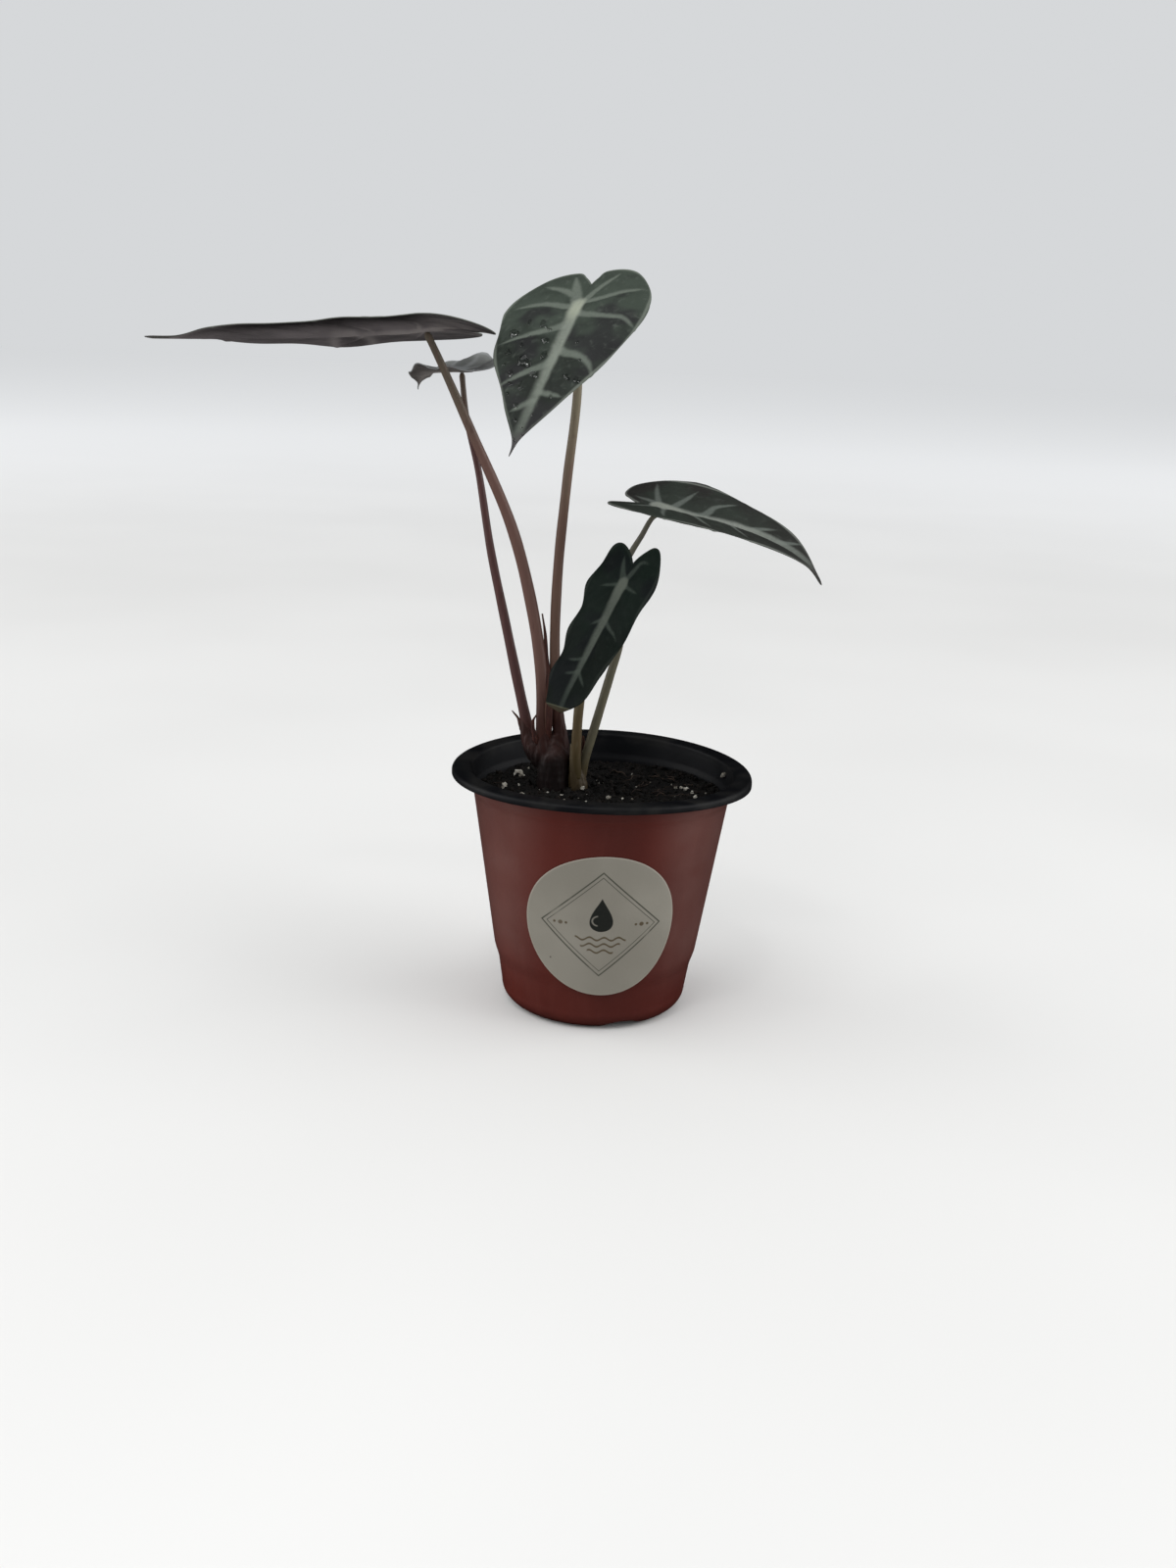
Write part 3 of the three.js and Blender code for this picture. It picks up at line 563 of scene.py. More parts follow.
class Finish:
    """A material under construction."""

    def __init__(self, name):
        self.material = bpy.data.materials.new(name)
        self.material.use_nodes = True
        self.tree = self.material.node_tree
        self.tree.nodes.clear()

    def node(self, kind, settings=None, sockets=None, output=0):
        """Adds a node, makes its settings, then fills its sockets with values, hex codes or links."""
        node = self.tree.nodes.new(kind)
        for key, setting in (settings or {}).items():
            setattr(node, key, setting)
        for key, value in (sockets or {}).items():
            if isinstance(value, Value):
                self.tree.links.new(value.socket, node.inputs[key])
            else:
                node.inputs[key].default_value = colour(value) if isinstance(value, str) else value
        return Value(self, node.outputs[output]) if node.outputs else None

    def place(self):
        return self.node("ShaderNodeTexCoord", output="Object")

    def flat(self):
        return self.node("ShaderNodeUVMap", {"uv_map": "flat"})

    def flat_place(self):
        """Flat coordinates in millimetres: along and across a blade, or across and up the label."""
        return [axis * FLAT for axis in self.axes(self.flat())[:2]]

    def fields(self, *names):
        kind = "ShaderNodeAttribute"
        return [self.node(kind, {"attribute_name": name}, output="Fac") for name in names]

    def axes(self, vector):
        return [self.node("ShaderNodeSeparateXYZ", {}, {0: vector}, output=i) for i in range(3)]

    def noise(self, vector, scale, detail=2.0, distortion=0.0):
        """Noise of one scale, or of one for each axis."""
        if isinstance(scale, tuple):
            vector, scale = self.stretched(vector, scale), 1.0
        sockets = {"Vector": vector, "Scale": scale, "Detail": detail, "Distortion": distortion}
        return self.node("ShaderNodeTexNoise", {}, sockets)

    def specks(self, place, scale, size, patches, share):
        """Small round specks in the cells of one scale, within the patches of another."""
        cells = self.node("ShaderNodeTexVoronoi", {"feature": "F1"}, {"Vector": place, "Scale": scale})
        return cells.over(*size) * self.noise(place, patches, 0.0).over(*share)

    def stretched(self, vector, scales):
        return self.node("ShaderNodeVectorMath", {"operation": "MULTIPLY"}, {0: vector, 1: scales})

    def mix(self, factor, one, other):
        settings = {"data_type": "RGBA", "clamp_factor": True}
        return self.node("ShaderNodeMix", settings, {0: factor, 6: one, 7: other}, output=2)

    def bump(self, height, strength, distance):
        sockets = {"Height": height, "Strength": strength, "Distance": distance * MM}
        return self.node("ShaderNodeBump", {}, sockets)

    def surface(self, base, roughness, gleam=0.5, normal=None, clear=None):
        """Closes the material with a principled surface. gleam is its specular level, and clear
        holds what makes it let light through."""
        sockets = {"Base Color": base, "Roughness": roughness, "Specular IOR Level": gleam}
        sockets.update(clear or {})
        if normal:
            sockets["Normal"] = normal
        shader = self.node("ShaderNodeBsdfPrincipled", {}, sockets)
        self.node("ShaderNodeOutputMaterial", {}, {"Surface": shader})
        return self.material


# Finishes

def blade_finish(name, tones, laterals=0.9, rim=0.5, gleam=0.15, soft=1.0, tip=None):
    """Leaf tissue between pale veins. The midrib and vein fields are the distances past the edge of
    the midrib's band and of the nearest side vein's, the edge field that to the margin and the hub
    field that to the stalk, in millimetres; ahead is the share of the way to the tip. tones are the
    tissue near the hub and towards the tip, its flush, the side veins, the midrib, the hub and the
    drawn-out end. laterals and rim say how much the side veins and the margin show, and soft how
    far, in millimetres, the bands blur. tip is how far along the blade a brownish tip starts."""
    finish = Finish(name)
    tissue, deep, flush, band, pale, centre, drawn = tones
    place = finish.place()
    midrib, vein, edge, hub, ahead = finish.fields("midrib", "vein", "edge", "hub", "ahead")
    cloud = finish.noise(place, 90.0, 3.0)
    blush = finish.noise(finish.stretched(place, (1.0, 1.0, 1.3)), 62.0, 2.0)
    mottle = finish.noise(place, 380.0, 4.0, 0.4)
    fibre = finish.noise(place, 1100.0, 3.0)
    wander = (mottle - 0.5) * soft
    base = finish.mix((cloud * 1.3 + ahead * 0.9).over(0.55, 1.3), tissue, deep)
    base = finish.mix(blush.over(0.52, 0.66) * 0.75, base, flush)
    base = finish.mix(mottle.over(0.52, 0.8) * 0.3 * min(soft, 1.0) ** 2, base, band)
    side = (vein + wander).over(1.1 * soft, -0.3)
    sided = finish.mix(side * (fibre * 0.5 + 0.7) * laterals, base, band)
    centred = (midrib + wander).over(1.3 * soft, -0.9)
    faded = finish.mix(ahead.over(0.25, 1.1), pale, band)
    lined = finish.mix(centred * (fibre * 0.5 + 0.7) * ahead.over(1.4, 0.4), sided, faded)
    warm = finish.mix(hub.over(9.0, 0.5) * centred, lined, centre)
    border = (edge + wander * 0.3).over(0.9, 0.15) * ahead.over(1.0, 0.6)
    bordered = finish.mix(border * rim, warm, pale)
    ended = finish.mix((ahead + mottle * 0.1).over(0.89, 0.97), bordered, drawn)
    if tip:
        along = finish.flat_place()[0]
        ended = finish.mix(along.over(tip - 0.3, tip + 0.3), bordered, drawn)
        # A pale line where the tip folds back: a painted highlight along the fold's crest.
        fold = abs(along - tip + 0.2).over(0.3, 0.1)
        ended = finish.mix(fold * 0.4, ended, "#5d5c48")
    normal = finish.bump(mottle * 0.6 + fibre * 0.3, 0.4, 0.25)
    return finish.surface(ended, mottle * 0.2 + 0.45, gleam, normal)


def underside_finish(name, tones, fold=None):
    """The lower face, with painted shade towards the left margin, which curls away, paler ribs and,
    behind the stalk, streaks along the lobes. tones are the tissue, its dark patches, the ribs and the
    margin's painted shade. fold is the place along and across, and the two reaches, of a fold drawn
    in paint, with a painted highlight on its edge and painted shade inside it."""
    finish = Finish(name)
    tissue, shade, rib, painted_shade_tone = tones
    place = finish.place()
    midrib, vein, edge, hub = finish.fields("midrib", "vein", "edge", "hub")
    along, across = finish.flat_place()
    cloud = finish.noise(finish.stretched(place, (0.6, 1.0, 1.0)), 85.0, 3.0)
    mottle = finish.noise(place, 260.0, 4.0, 0.4)
    lobes = finish.noise(finish.flat(), (5.0, 24.0, 1.0), 3.0)
    wander = mottle - 0.5
    base = finish.mix((cloud * 1.4).over(0.5, 1.0), tissue, shade)
    ribs = (vein.least(midrib) + wander).over(0.7, -0.6)
    base = finish.mix(ribs * hub.over(34.0, 3.0) * 0.8, base, rib)
    behind = along.over(2.0, -5.0)
    base = finish.mix(behind * 0.3, base, rib)
    # Streaks along the lobes behind the stalk: dark ones in the painted shade tone, pale ones in the rib
    # tone.
    base = finish.mix(lobes.over(0.46, 0.6) * behind * 0.5, base, painted_shade_tone)
    base = finish.mix(lobes.over(0.46, 0.36) * behind * 0.7, base, rib)
    # A fold drawn in paint: a painted highlight along its edge and painted shade inside it.
    if fold:
        place_along, place_across, reach_along, reach_across = fold
        ring = ((along - place_along) / reach_along).hypot((across - place_across) / reach_across)
        ring = ring + wander * 0.3
        base = finish.mix(abs(ring - 1.0).over(0.45, 0.0) * 0.45, base, rib)
        base = finish.mix(ring.over(0.9, 0.3) * 0.4, base, painted_shade_tone)
    # Painted shade towards the margin that curls away, weaker behind the stalk and towards the tip.
    outward = across / (across + edge).most(1.0)
    margin = (outward + wander * 0.2).over(0.0, 0.85) * (along.over(-7.0, 6.0) * 0.45 + 0.45)
    margin = margin * (along.over(95.0, 48.0) * 0.8 + 0.2)
    base = finish.mix(margin, base, painted_shade_tone)
    base = finish.mix(edge.over(0.8, 0.2) * 0.12, base, rib)
    return finish.surface(base, mottle * 0.15 + 0.5, 0.2, finish.bump(mottle, 0.3, 0.25))


def stalk_finish(name, foot, low, high, levels, streak):
    """A stalk whose colour changes with height, with fine streaks along it. levels are four heights
    in millimetres: the foot's colour gives way between the first two, the low one between the others."""
    finish = Finish(name)
    place = finish.place()
    height = finish.axes(place)[2]
    streaks = finish.noise(place, (900.0, 900.0, 60.0), 3.0)
    spots = finish.noise(place, (500.0, 500.0, 160.0), 4.0)
    base = finish.mix(height.over(levels[2] * MM, levels[3] * MM), low, high)
    base = finish.mix(streaks.over(0.45, 0.75) * 0.5, base, streak)
    base = finish.mix(spots.over(0.6, 0.75) * 0.4, base, foot)
    base = finish.mix(height.over(levels[1] * MM, levels[0] * MM), base, foot)
    return finish.surface(base, spots * 0.15 + 0.38, 0.35, finish.bump(streaks, 0.25, 0.2))


def crown_finish(name, foot, sheath, streak, stalk, levels):
    """Corm and sheaths: dark at the foot, the sheath's colour above, then the stalks' colour, with
    fibres along them. levels are four heights in millimetres, for the two changes."""
    finish = Finish(name)
    place = finish.place()
    height = finish.axes(place)[2]
    fibres = finish.noise(place, (1100.0, 1100.0, 130.0), 4.0)
    patches = finish.noise(place, 230.0, 3.0)
    level = height + (patches - 0.5) * 0.006
    base = finish.mix(level.over(levels[0] * MM, levels[1] * MM), foot, sheath)
    base = finish.mix(fibres.over(0.48, 0.72) * 0.45, base, streak)
    base = finish.mix(patches.over(0.55, 0.75) * 0.4, base, foot)
    base = finish.mix(level.over(levels[2] * MM, levels[3] * MM), base, stalk)
    return finish.surface(base, fibres * 0.2 + 0.42, 0.3, finish.bump(fibres, 0.4, 0.3))


def scale_finish():
    """Dry papery tissue, reddish brown with pale worn edges."""
    finish = Finish("dry_scale")
    edge, = finish.fields("edge")
    fibres = finish.noise(finish.place(), (1500.0, 1500.0, 200.0), 4.0)
    base = finish.mix(fibres.over(0.4, 0.7), "#45261f", "#2c1613")
    base = finish.mix(edge.over(0.3, 0.1) * 0.5, base, "#64503f")
    return finish.surface(base, fibres * 0.2 + 0.55, 0.25, finish.bump(fibres, 0.5, 0.3))


def terracotta_finish():
    """The pot's outside: dull red-brown plastic, faintly cloudy, with a painted sheen, paler and greyer
    in dusty patches towards its left and right sides, painted shade at its foot, and specks of soil."""
    finish = Finish("terracotta_plastic")
    place = finish.place()
    aside, _, height = finish.axes(place)
    cloud = finish.noise(place, (22.0, 22.0, 12.0), 3.0)
    grain = finish.noise(place, 1400.0, 3.0)
    drawn = finish.noise(place, (260.0, 260.0, 9.0), 2.0)
    dust_and_sheen = finish.noise(place, (48.0, 48.0, 70.0), 4.0, 0.4)
    dirt = finish.specks(place, 62.0, (0.075, 0.035), 62.0, (0.56, 0.62))
    base = finish.mix(cloud.over(0.3, 0.7), "#57211a", "#4a1b15")
    base = finish.mix(drawn.over(0.45, 0.8) * 0.1, base, "#6a382f")
    # Painted sheen and dust: paler, greyer colour towards the left and right sides, in dusty patches.
    painted_side_sheen = abs(aside).over(13 * MM, 31 * MM) * height.over(6 * MM, 30 * MM)
    base = finish.mix(painted_side_sheen * (dust_and_sheen * 0.14 + 0.05), base, "#95867f")
    base = finish.mix(dirt, base, "#1d1512")
    # Painted shade: darker red-brown in cloudy patches towards the foot.
    foot = height.over(7 * MM, 0.5 * MM) * cloud.over(0.35, 0.65)
    base = finish.mix(foot * 0.5, base, "#3a1c18")
    normal = finish.bump(grain + drawn, 0.25, 0.12)
    return finish.surface(base, cloud * 0.1 + drawn * 0.05 + 0.42, 0.2, normal)


def black_finish():
    """The pot's inside and rim: black plastic, dusty grey on the rim."""
    finish = Finish("black_plastic")
    place = finish.place()
    height = finish.axes(place)[2]
    dust = finish.noise(place, (90.0, 90.0, 160.0), 4.0, 0.5)
    grain = finish.noise(place, 1300.0, 2.0)
    base = finish.mix(dust.over(0.35, 0.75), "#0e0f12", "#151619")
    rim = height.over(77.5 * MM, 81.6 * MM)
    base = finish.mix(rim * dust.over(0.4, 0.68) * 0.5, base, "#252421")
    return finish.surface(base, dust * 0.2 + 0.4, 0.15, finish.bump(grain, 0.2, 0.12))


def soil_finish(name, dark, brown):
    """Moist potting mix."""
    finish = Finish(name)
    place = finish.place()
    clumps = finish.noise(place, 420.0, 4.0)
    grit = finish.noise(place, 1900.0, 3.0)
    base = finish.mix(clumps.over(0.42, 0.7), dark, brown)
    return finish.surface(base, grit * 0.25 + 0.7, 0.2, finish.bump(clumps + grit, 0.8, 0.5))


def perlite_finish():
    """Puffed white grains with soil in their pores."""
    finish = Finish("perlite")
    place = finish.place()
    pores = finish.noise(place, 1700.0, 3.0)
    dirt = finish.noise(place, 260.0, 3.0)
    base = finish.mix(dirt.over(0.4, 0.66), "#a9a69c", "#6d675d")
    base = finish.mix(pores.over(0.6, 0.7) * 0.7, base, "#3b352d")
    return finish.surface(base, pores * 0.2 + 0.75, normal=finish.bump(pores, 0.7, 0.25))


def fibre_finish():
    """Dead roots and shreds of bark."""
    finish = Finish("root_fibre")
    tone = finish.noise(finish.place(), 600.0, 3.0)
    base = finish.mix(tone.over(0.35, 0.7), "#1d1613", "#40332b")
    return finish.surface(base, tone * 0.2 + 0.6, 0.2)


def water_finish():
    """Clear drops."""
    finish = Finish("water")
    ripple = finish.noise(finish.place(), 500.0, 2.0)
    clear = {"IOR": 1.4, "Transmission Weight": 1.0}
    return finish.surface("#ffffff", ripple * 0.03, normal=finish.bump(ripple, 0.1, 0.1), clear=clear)


def label_finish():
    """Cream paper printed with a plain device: three wavy lines under a drop, in a lozenge of two
    thin lines with beads at each side. A line is a narrow band round where a distance is nought."""
    finish = Finish("label_paper")
    across, up = finish.flat_place()
    place = finish.place()
    blur, centre = DEVICE["blur"], DEVICE["middle"]

    def line(distance, half):
        return abs(distance).over(half + blur, half - blur * 0.4)

    lozenge = abs(across) + abs(up - centre) * DEVICE["slant"]
    lozenges = [line(lozenge - reach, half) for reach, half in DEVICE["lozenge"]]
    middle, tall, wide = DEVICE["drop"]
    height = (up - middle) / tall
    round_end = (1.0 - height * height).most(0.0) ** 0.5
    pointed_end = ((1.0 - height) * 0.5).most(0.0) ** 0.8
    drop = (round_end * pointed_end * wide - abs(across)).over(0.0, 0.25)
    glint = line(((across + 1.0) * 0.9).hypot(up - 1.9) - 1.7, 0.2) * across.over(-0.9, -1.4)
    waves = []
    for level, reach in DEVICE["waves"]:
        curve = up - level - (across * 1.35).sine() * 0.55
        waves.append(line(curve, 0.3) * abs(across).over(reach + 0.3, reach - 0.3))
    beads = []
    for radius, offset in DEVICE["beads"]:
        distance = (abs(across) - offset).hypot(up - centre)
        beads.append(distance.over(radius + blur, radius - blur))

    fade = finish.noise(place, 130.0, 4.0)
    shade = finish.noise(place, 34.0, 2.0)
    edge, = finish.fields("edge")
    paper = finish.mix(shade.over(0.3, 0.7), "#858177", "#7b776d")
    printed = finish.mix(edge.over(0.7, 0.1) * 0.35, paper, "#a59c90")
    worn = (fade.over(0.28, 0.46) * 0.5 + 0.5) * 0.9
    for lines, ink in ((lozenges, "#3c3d33"), (waves, "#4a3d28"), (beads, "#4a3d28")):
        printed = finish.mix(reduce(Value.most, lines) * worn, printed, ink)
    printed = finish.mix(drop * (1.0 - glint * 0.7), printed, "#20221e")
    dirt = finish.specks(place, 240.0, (0.11, 0.05), 120.0, (0.6, 0.66))
    printed = finish.mix(dirt * 0.8, printed, "#3a352c")
    normal = finish.bump(finish.noise(place, 900.0, 3.0), 0.15, 0.1)
    return finish.surface(printed, fade * 0.15 + 0.42, 0.35, normal)


def floor_finish():
    """A pale floor, a little paler away from the lamps."""
    finish = Finish("pale_floor")
    place = finish.place()
    tone = finish.noise(place, 3.0, 2.0)
    base = finish.mix(tone.over(0.3, 0.7), "#e4e3e1", "#dfdedc")
    distance = finish.node("ShaderNodeVectorMath", {"operation": "LENGTH"}, {0: place}, output=1)
    base = finish.mix(distance.over(0.7, 2.6), base, "#fdfdfd")
    return finish.surface(base, 0.7, 0.0)


# Pot

def cone_radius(z):
    return lerp(POT["foot_radius"], POT["mouth_radius"], z / POT["height"])


def pot_radius(z):
    """The outside of the wall: a cone, with a small step out at the collar and in at the plinth."""
    blend, step = POT["collar_blend"], POT["collar_step"]
    collar = step * smoothstep(z, POT["collar_height"] - blend, POT["collar_height"] + blend)
    blend, step = POT["plinth_blend"], POT["plinth_step"]
    body = smoothstep(z, POT["plinth_height"] - blend, POT["plinth_height"] + blend)
    return cone_radius(z) + collar - step * (1 - body)


def arc(centre, radius, start, end, count=9):
    """Points of a round bend between two angles, in degrees from outwards."""
    angle = np.radians(np.linspace(start, end, count))
    return np.stack([centre[0] + radius * np.cos(angle), centre[1] + radius * np.sin(angle)], -1)


def pot_profile():
    """The sheet's outline, from the axis under the floor, up the outside, over the rim and down the
    inside. Returns the points and how many of them are on the outside."""
    wall, corner, height = POT["wall"], POT["corner_radius"], POT["height"]
    levels = np.linspace(corner, height - POT["neck_below"], 90)[1:]
    outside = np.stack([pot_radius(levels), levels], -1)
    inside = np.stack([pot_radius(levels) - wall, levels], -1)[::-1]
    foot = pot_radius(corner)
    neck, rim, drop = pot_radius(height), POT["rim_radius"], POT["rim_drop"]
    floor = np.linspace(0, foot - corner, 14)[:, None]
    lower = [floor * (1, 0), arc((foot - corner, corner), corner, -90, 0, 16)[1:], outside]
    under, inner, lip, mouth = (POT[f"{key}_bend"] for key in ("under", "inner", "lip", "mouth"))
    flange = [
        arc((neck + under, height - wall - under), under, 180, 90),
        arc((rim - wall - inner, height - wall - inner), inner, 90, 0, 6),
        arc((rim - wall / 2, height - drop + wall / 2), wall / 2, 180, 360),
        arc((rim - lip, height - lip), lip, 0, 90),
        arc((neck + POT["mouth_lead"], height - mouth), mouth, 90, 180),
    ]
    bend = arc((foot - corner, corner), corner - wall, 0, -90, 12)[1:]
    upper = [inside, bend, floor[::-1][1:] * (1, 0) + (0, wall)]
    return np.concatenate(lower + flange + upper), sum(map(len, lower))


def bent_rim(grid):
    """Bends the thin sheet a little towards its top: the rim rises at the front and back and sinks
    at the sides, by the cosine of twice the bearing, and its turned-down lip hangs lower on the
    right, by a bell of the bearing."""
    x, y, z = np.moveaxis(grid, -1, 0)
    bearing = np.arctan2(x, -y)
    height = POT["height"]
    lip = smoothstep(np.hypot(x, y), POT["rim_radius"] - 3, POT["rim_radius"] - 1) * (z > height / 2)
    right = bell(bearing - math.radians(POT["sag_bearing"]), POT["sag_spread"])
    lowered = (height - z) * POT["lip_sag"] * right * lip
    raised = POT["warp"] * np.cos(2 * bearing) * smoothstep(z, height - POT["warp_depth"], height)
    return np.stack([x, y, z + raised - lowered], -1)


def make_pot():
    """The sheet's outline turned round and bent, terracotta outside and black from the rim in."""
    profile, outer = pot_profile()
    points, faces = joined(bent_rim(turned(profile, POT["sides"])))
    within = faces[:, 0] // POT["sides"] >= outer
    pot = add_piece("pot_shell", points, faces, [terracotta_finish(), black_finish()], "pot",
                    face_finish=within)
    cut_notches(pot)
    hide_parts("pot")


def cut_notches(pot):
    """Cuts the drain notches: each is a lying round bar that dips into the foot from outside. Its
    radius is that of the arc through the notch's width and rise."""
    rise, width = NOTCH["rise"], NOTCH["width"]
    radius = (width * width / 4 + rise * rise) / (2 * rise)
    outward = np.linspace(-NOTCH["reach"], NOTCH["reach"], 2)
    path = np.stack([0 * outward, -POT["foot_radius"] - outward, 0 * outward + rise - radius], -1)
    angle = circle(160)
    ring = np.stack([np.cos(angle), 0 * angle, np.sin(angle)], -1) * radius
    bars = []
    for i in range(NOTCH["count"]):
        turn = math.radians(NOTCH["turn"] + i * 360 / NOTCH["count"])
        ahead, aside = math.cos(turn), math.sin(turn)
        bars.append(capped(path[:, None] + ring) @ [[ahead, aside, 0], [-aside, ahead, 0], [0, 0, 1]])
    cutter = add_piece("notch_cutter", *joined(*bars), [])
    cut = pot.modifiers.new("notches", "BOOLEAN")
    cut.operation = "DIFFERENCE"
    cut.solver = "EXACT"
    cut.object = cutter
    applied(pot)
    bpy.data.objects.remove(cutter)


# Soil

def soil_height(x, y):
    """Two products of crossed sine waves, broad and fine, on the soil's mean level."""
    broad = np.sin(0.21 * x + 1.3) * np.sin(0.24 * y + 0.4)
    fine = np.sin(0.62 * x - 0.35 * y) * np.sin(0.41 * x + 0.7 * y + 2)
    return POT["height"] - SOIL["below"] + SOIL["lumps"] * (0.6 * broad + 0.5 * fine)


def rough_soil(x, y):
    """The soil's level with its crumbly grain, a random field."""
    grain = roughness_at(np.stack([x, y], -1), SOIL["grain_size"], 11, 4)
    return soil_height(x, y) + SOIL["grain"] * grain


def make_soil():
    """A disc whose top follows rough_soil, on a side that stands just inside the pot's wall."""
    top = POT["height"] - SOIL["below"]
    rim = pot_radius(top) - POT["wall"] - SOIL["gap"]
    sides, rings = 300, 120
    radius = rim * np.linspace(1, 0, rings)[:, None] ** 0.8
    angle = circle(sides)[None]
    x, y = radius * np.sin(angle), -radius * np.cos(angle)
    surface = np.stack([x, y, rough_soil(x, y)], -1)
    floor = POT["wall"] + SOIL["low_gap"]
    side = [(0, floor), (POT["foot_radius"] - 7, floor)]
    for level, gap in ((7, SOIL["low_gap"]), (15, SOIL["low_gap"]), (top - 3, SOIL["gap"])):
        side.append((pot_radius(level) - POT["wall"] - gap, level))
    grid = np.concatenate([turned(np.array(side), sides), surface])
    finish = soil_finish("potting_mix", "#0b0a09", "#15110f")
    soil = add_piece("soil_bed", *joined(grid), [finish], "soil")
    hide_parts("soil")


def lumps(centres, sizes, seed, rows=6, columns=8, squash=0.75, uneven=0.3):
    """Many small lumps in one mesh: each is a ball whose surface a random field pushes in and out,
    squashed along one axis and turned at random."""
    draw = np.random.default_rng(seed)
    pitch = np.linspace(0, math.pi, rows + 1)[:, None]
    turn = circle(columns)[None]
    ball = np.stack([np.sin(pitch) * np.cos(turn), np.sin(pitch) * np.sin(turn),
                     np.cos(pitch) + 0 * turn], -1).reshape(-1, 3)
    count = len(centres)
    axes = np.linalg.qr(draw.normal(size=(count, 3, 3)))[0]
    reach = 1 + uneven * roughness_at(ball[None] + draw.uniform(-50, 50, (count, 1, 3)), 1.3, seed + 1, 2)
    shape = ball[None] * reach[..., None] * (1, 1, squash)
    points = np.einsum("nij,nkj->nki", axes, shape) * np.asarray(sizes)[:, None, None]
    points += np.asarray(centres)[:, None]
    return joined(*points.reshape(count, rows + 1, columns, 3))


def scattered(count, seed, low, high):
    """Random places on the soil, clear of the corms and the wall, with random sizes, most small."""
    draw = np.random.default_rng(seed)
    radius = SOIL["reach"] * np.sqrt(draw.uniform(0, 1, count * 2))
    turn = draw.uniform(0, 2 * math.pi, count * 2)
    x, y = radius * np.sin(turn), -radius * np.cos(turn)
    clear = np.ones(len(x), bool)
    for corm in (CORM, OFFSET_CORM):
        clear &= np.hypot(x - corm["x"], y - corm["y"]) > corm["radius"] + 0.6
    x, y = x[clear][:count], y[clear][:count]
    sizes = low + (high - low) * draw.uniform(0, 1, len(x)) ** 3
    return x, y, sizes


def make_crumbs():
    """Crumbs of soil: uneven lumps that lie on it."""
    x, y, sizes = scattered(2000, 5, 0.3, 1.25)
    centres = np.stack([x, y, rough_soil(x, y) + 0.15 * sizes], -1)
    finish = soil_finish("crumbs", "#0d0c0b", "#1d1713")
    add_piece("soil_crumbs", *lumps(centres, sizes, 21, 5, 7, 0.6, 0.45), [finish], "soil")


def make_perlite():
    """The large granules in their places, and small ones anywhere."""
    small = np.stack(scattered(60, 8, 0.16, 0.45), -1)
    x, y, sizes, lift = np.vstack([GRANULES, np.column_stack([small, np.zeros(len(small))])]).T
    centres = np.stack([x, y, rough_soil(x, y) + 0.35 * sizes + lift], -1)
    grains = lumps(centres, sizes, 34, 14, 18, 0.85, 0.3)
    add_piece("perlite_grains", *grains, [perlite_finish()], "soil")


def make_fibres():
    """Short dead roots that lie on the soil: thin tubes along paths that wander and loop."""
    draw = np.random.default_rng(17)
    steps, reach = FIBRES["steps"], FIBRES["reach"]
    tubes = []
    for i in range(FIBRES["count"]):
        turn = draw.uniform(0, 2 * math.pi)
        radius = reach * math.sqrt(draw.uniform(0.02, 1))
        x, y = radius * math.sin(turn), -radius * math.cos(turn)
        if i % 2 == 0:
            x, y = (draw.uniform(*side) for side in FIBRES["patch"])
        close = math.hypot(x - CORM["x"], y - CORM["y"]) < FIBRES["clear"]
        if close or math.hypot(x, y) > FIBRES["limit"]:
            continue
        heading = draw.uniform(0, 2 * math.pi)
        turns = heading + np.cumsum(draw.normal(0, FIBRES["wander"], steps))
        stride = draw.uniform(*FIBRES["stride"])
        path = np.stack([x + np.cumsum(np.cos(turns)) * stride, y + np.cumsum(np.sin(turns)) * stride], -1)
        lift = 0.5 + 0.9 * np.sin(np.linspace(0, math.pi, steps)) * draw.uniform(0, 1)
        path = np.column_stack([path, rough_soil(path[:, 0], path[:, 1]) + lift])
        radii = draw.uniform(*FIBRES["radius"]) * np.sin(np.linspace(0.35, math.pi - 0.2, steps))
        tubes.append(capped(sweep(path, radii, 6, level=(0, 0, 1))))
    add_piece("root_fibres", *joined(*tubes), [fibre_finish()], "soil")


# Label

def label_reach(share, around):
    """The label's edge wavers three times on its way round."""
    return share * (LABEL["diameter"] / 2 + LABEL["waver"] * np.sin(3 * around - 0.7) * share ** 2)


def label_point(share, around, stand):
    """A disc wrapped on the pot's cone: share is the part of its radius and around its angle."""
    slope = math.atan2(POT["mouth_radius"] - POT["foot_radius"], POT["height"])
    reach = label_reach(share, around)
    aside, up = reach * np.cos(around), reach * np.sin(around)
    z = LABEL["height"] + up * math.cos(slope)
    bearing = math.radians(LABEL["turn"]) + aside / cone_radius(z)
    radius = cone_radius(z) + stand
    return np.stack([radius * np.sin(bearing), -radius * np.cos(bearing), z + 0 * bearing], -1)


def make_label():
    """The label's front from its middle out and its back from the edge in, wrapped on the pot."""
    share = np.linspace(0, 1, 60)[:, None]
    around = circle(200)[None]
    low, high = LABEL["stand"], LABEL["stand"] + LABEL["thickness"]
    grid = np.concatenate([label_point(share, around, high), label_point(share[::-1], around, low)])
    reach = label_reach(np.concatenate([share, share[::-1]]), around)
    flat = np.stack([reach * np.cos(around), reach * np.sin(around)], -1).reshape(-1, 2)
    edge = (label_reach(1, around) - reach).ravel()
    label = add_piece("front_label", *joined(grid), [label_finish()], "sticker", {"edge": edge}, flat)
    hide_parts("sticker")


# Blades

def nudges(leaf, side, share, lift=False):
    """How far the leaf's listed places push its margin out, or lift it: each is a bell along it."""
    total = 0 * share
    for at_side, at_share, outward, upward in leaf.get("nudges", []):
        here = bell(share - at_share, NUDGE_REACH) * (side == at_side)
        total = total + (upward if lift else outward) * here
    return total


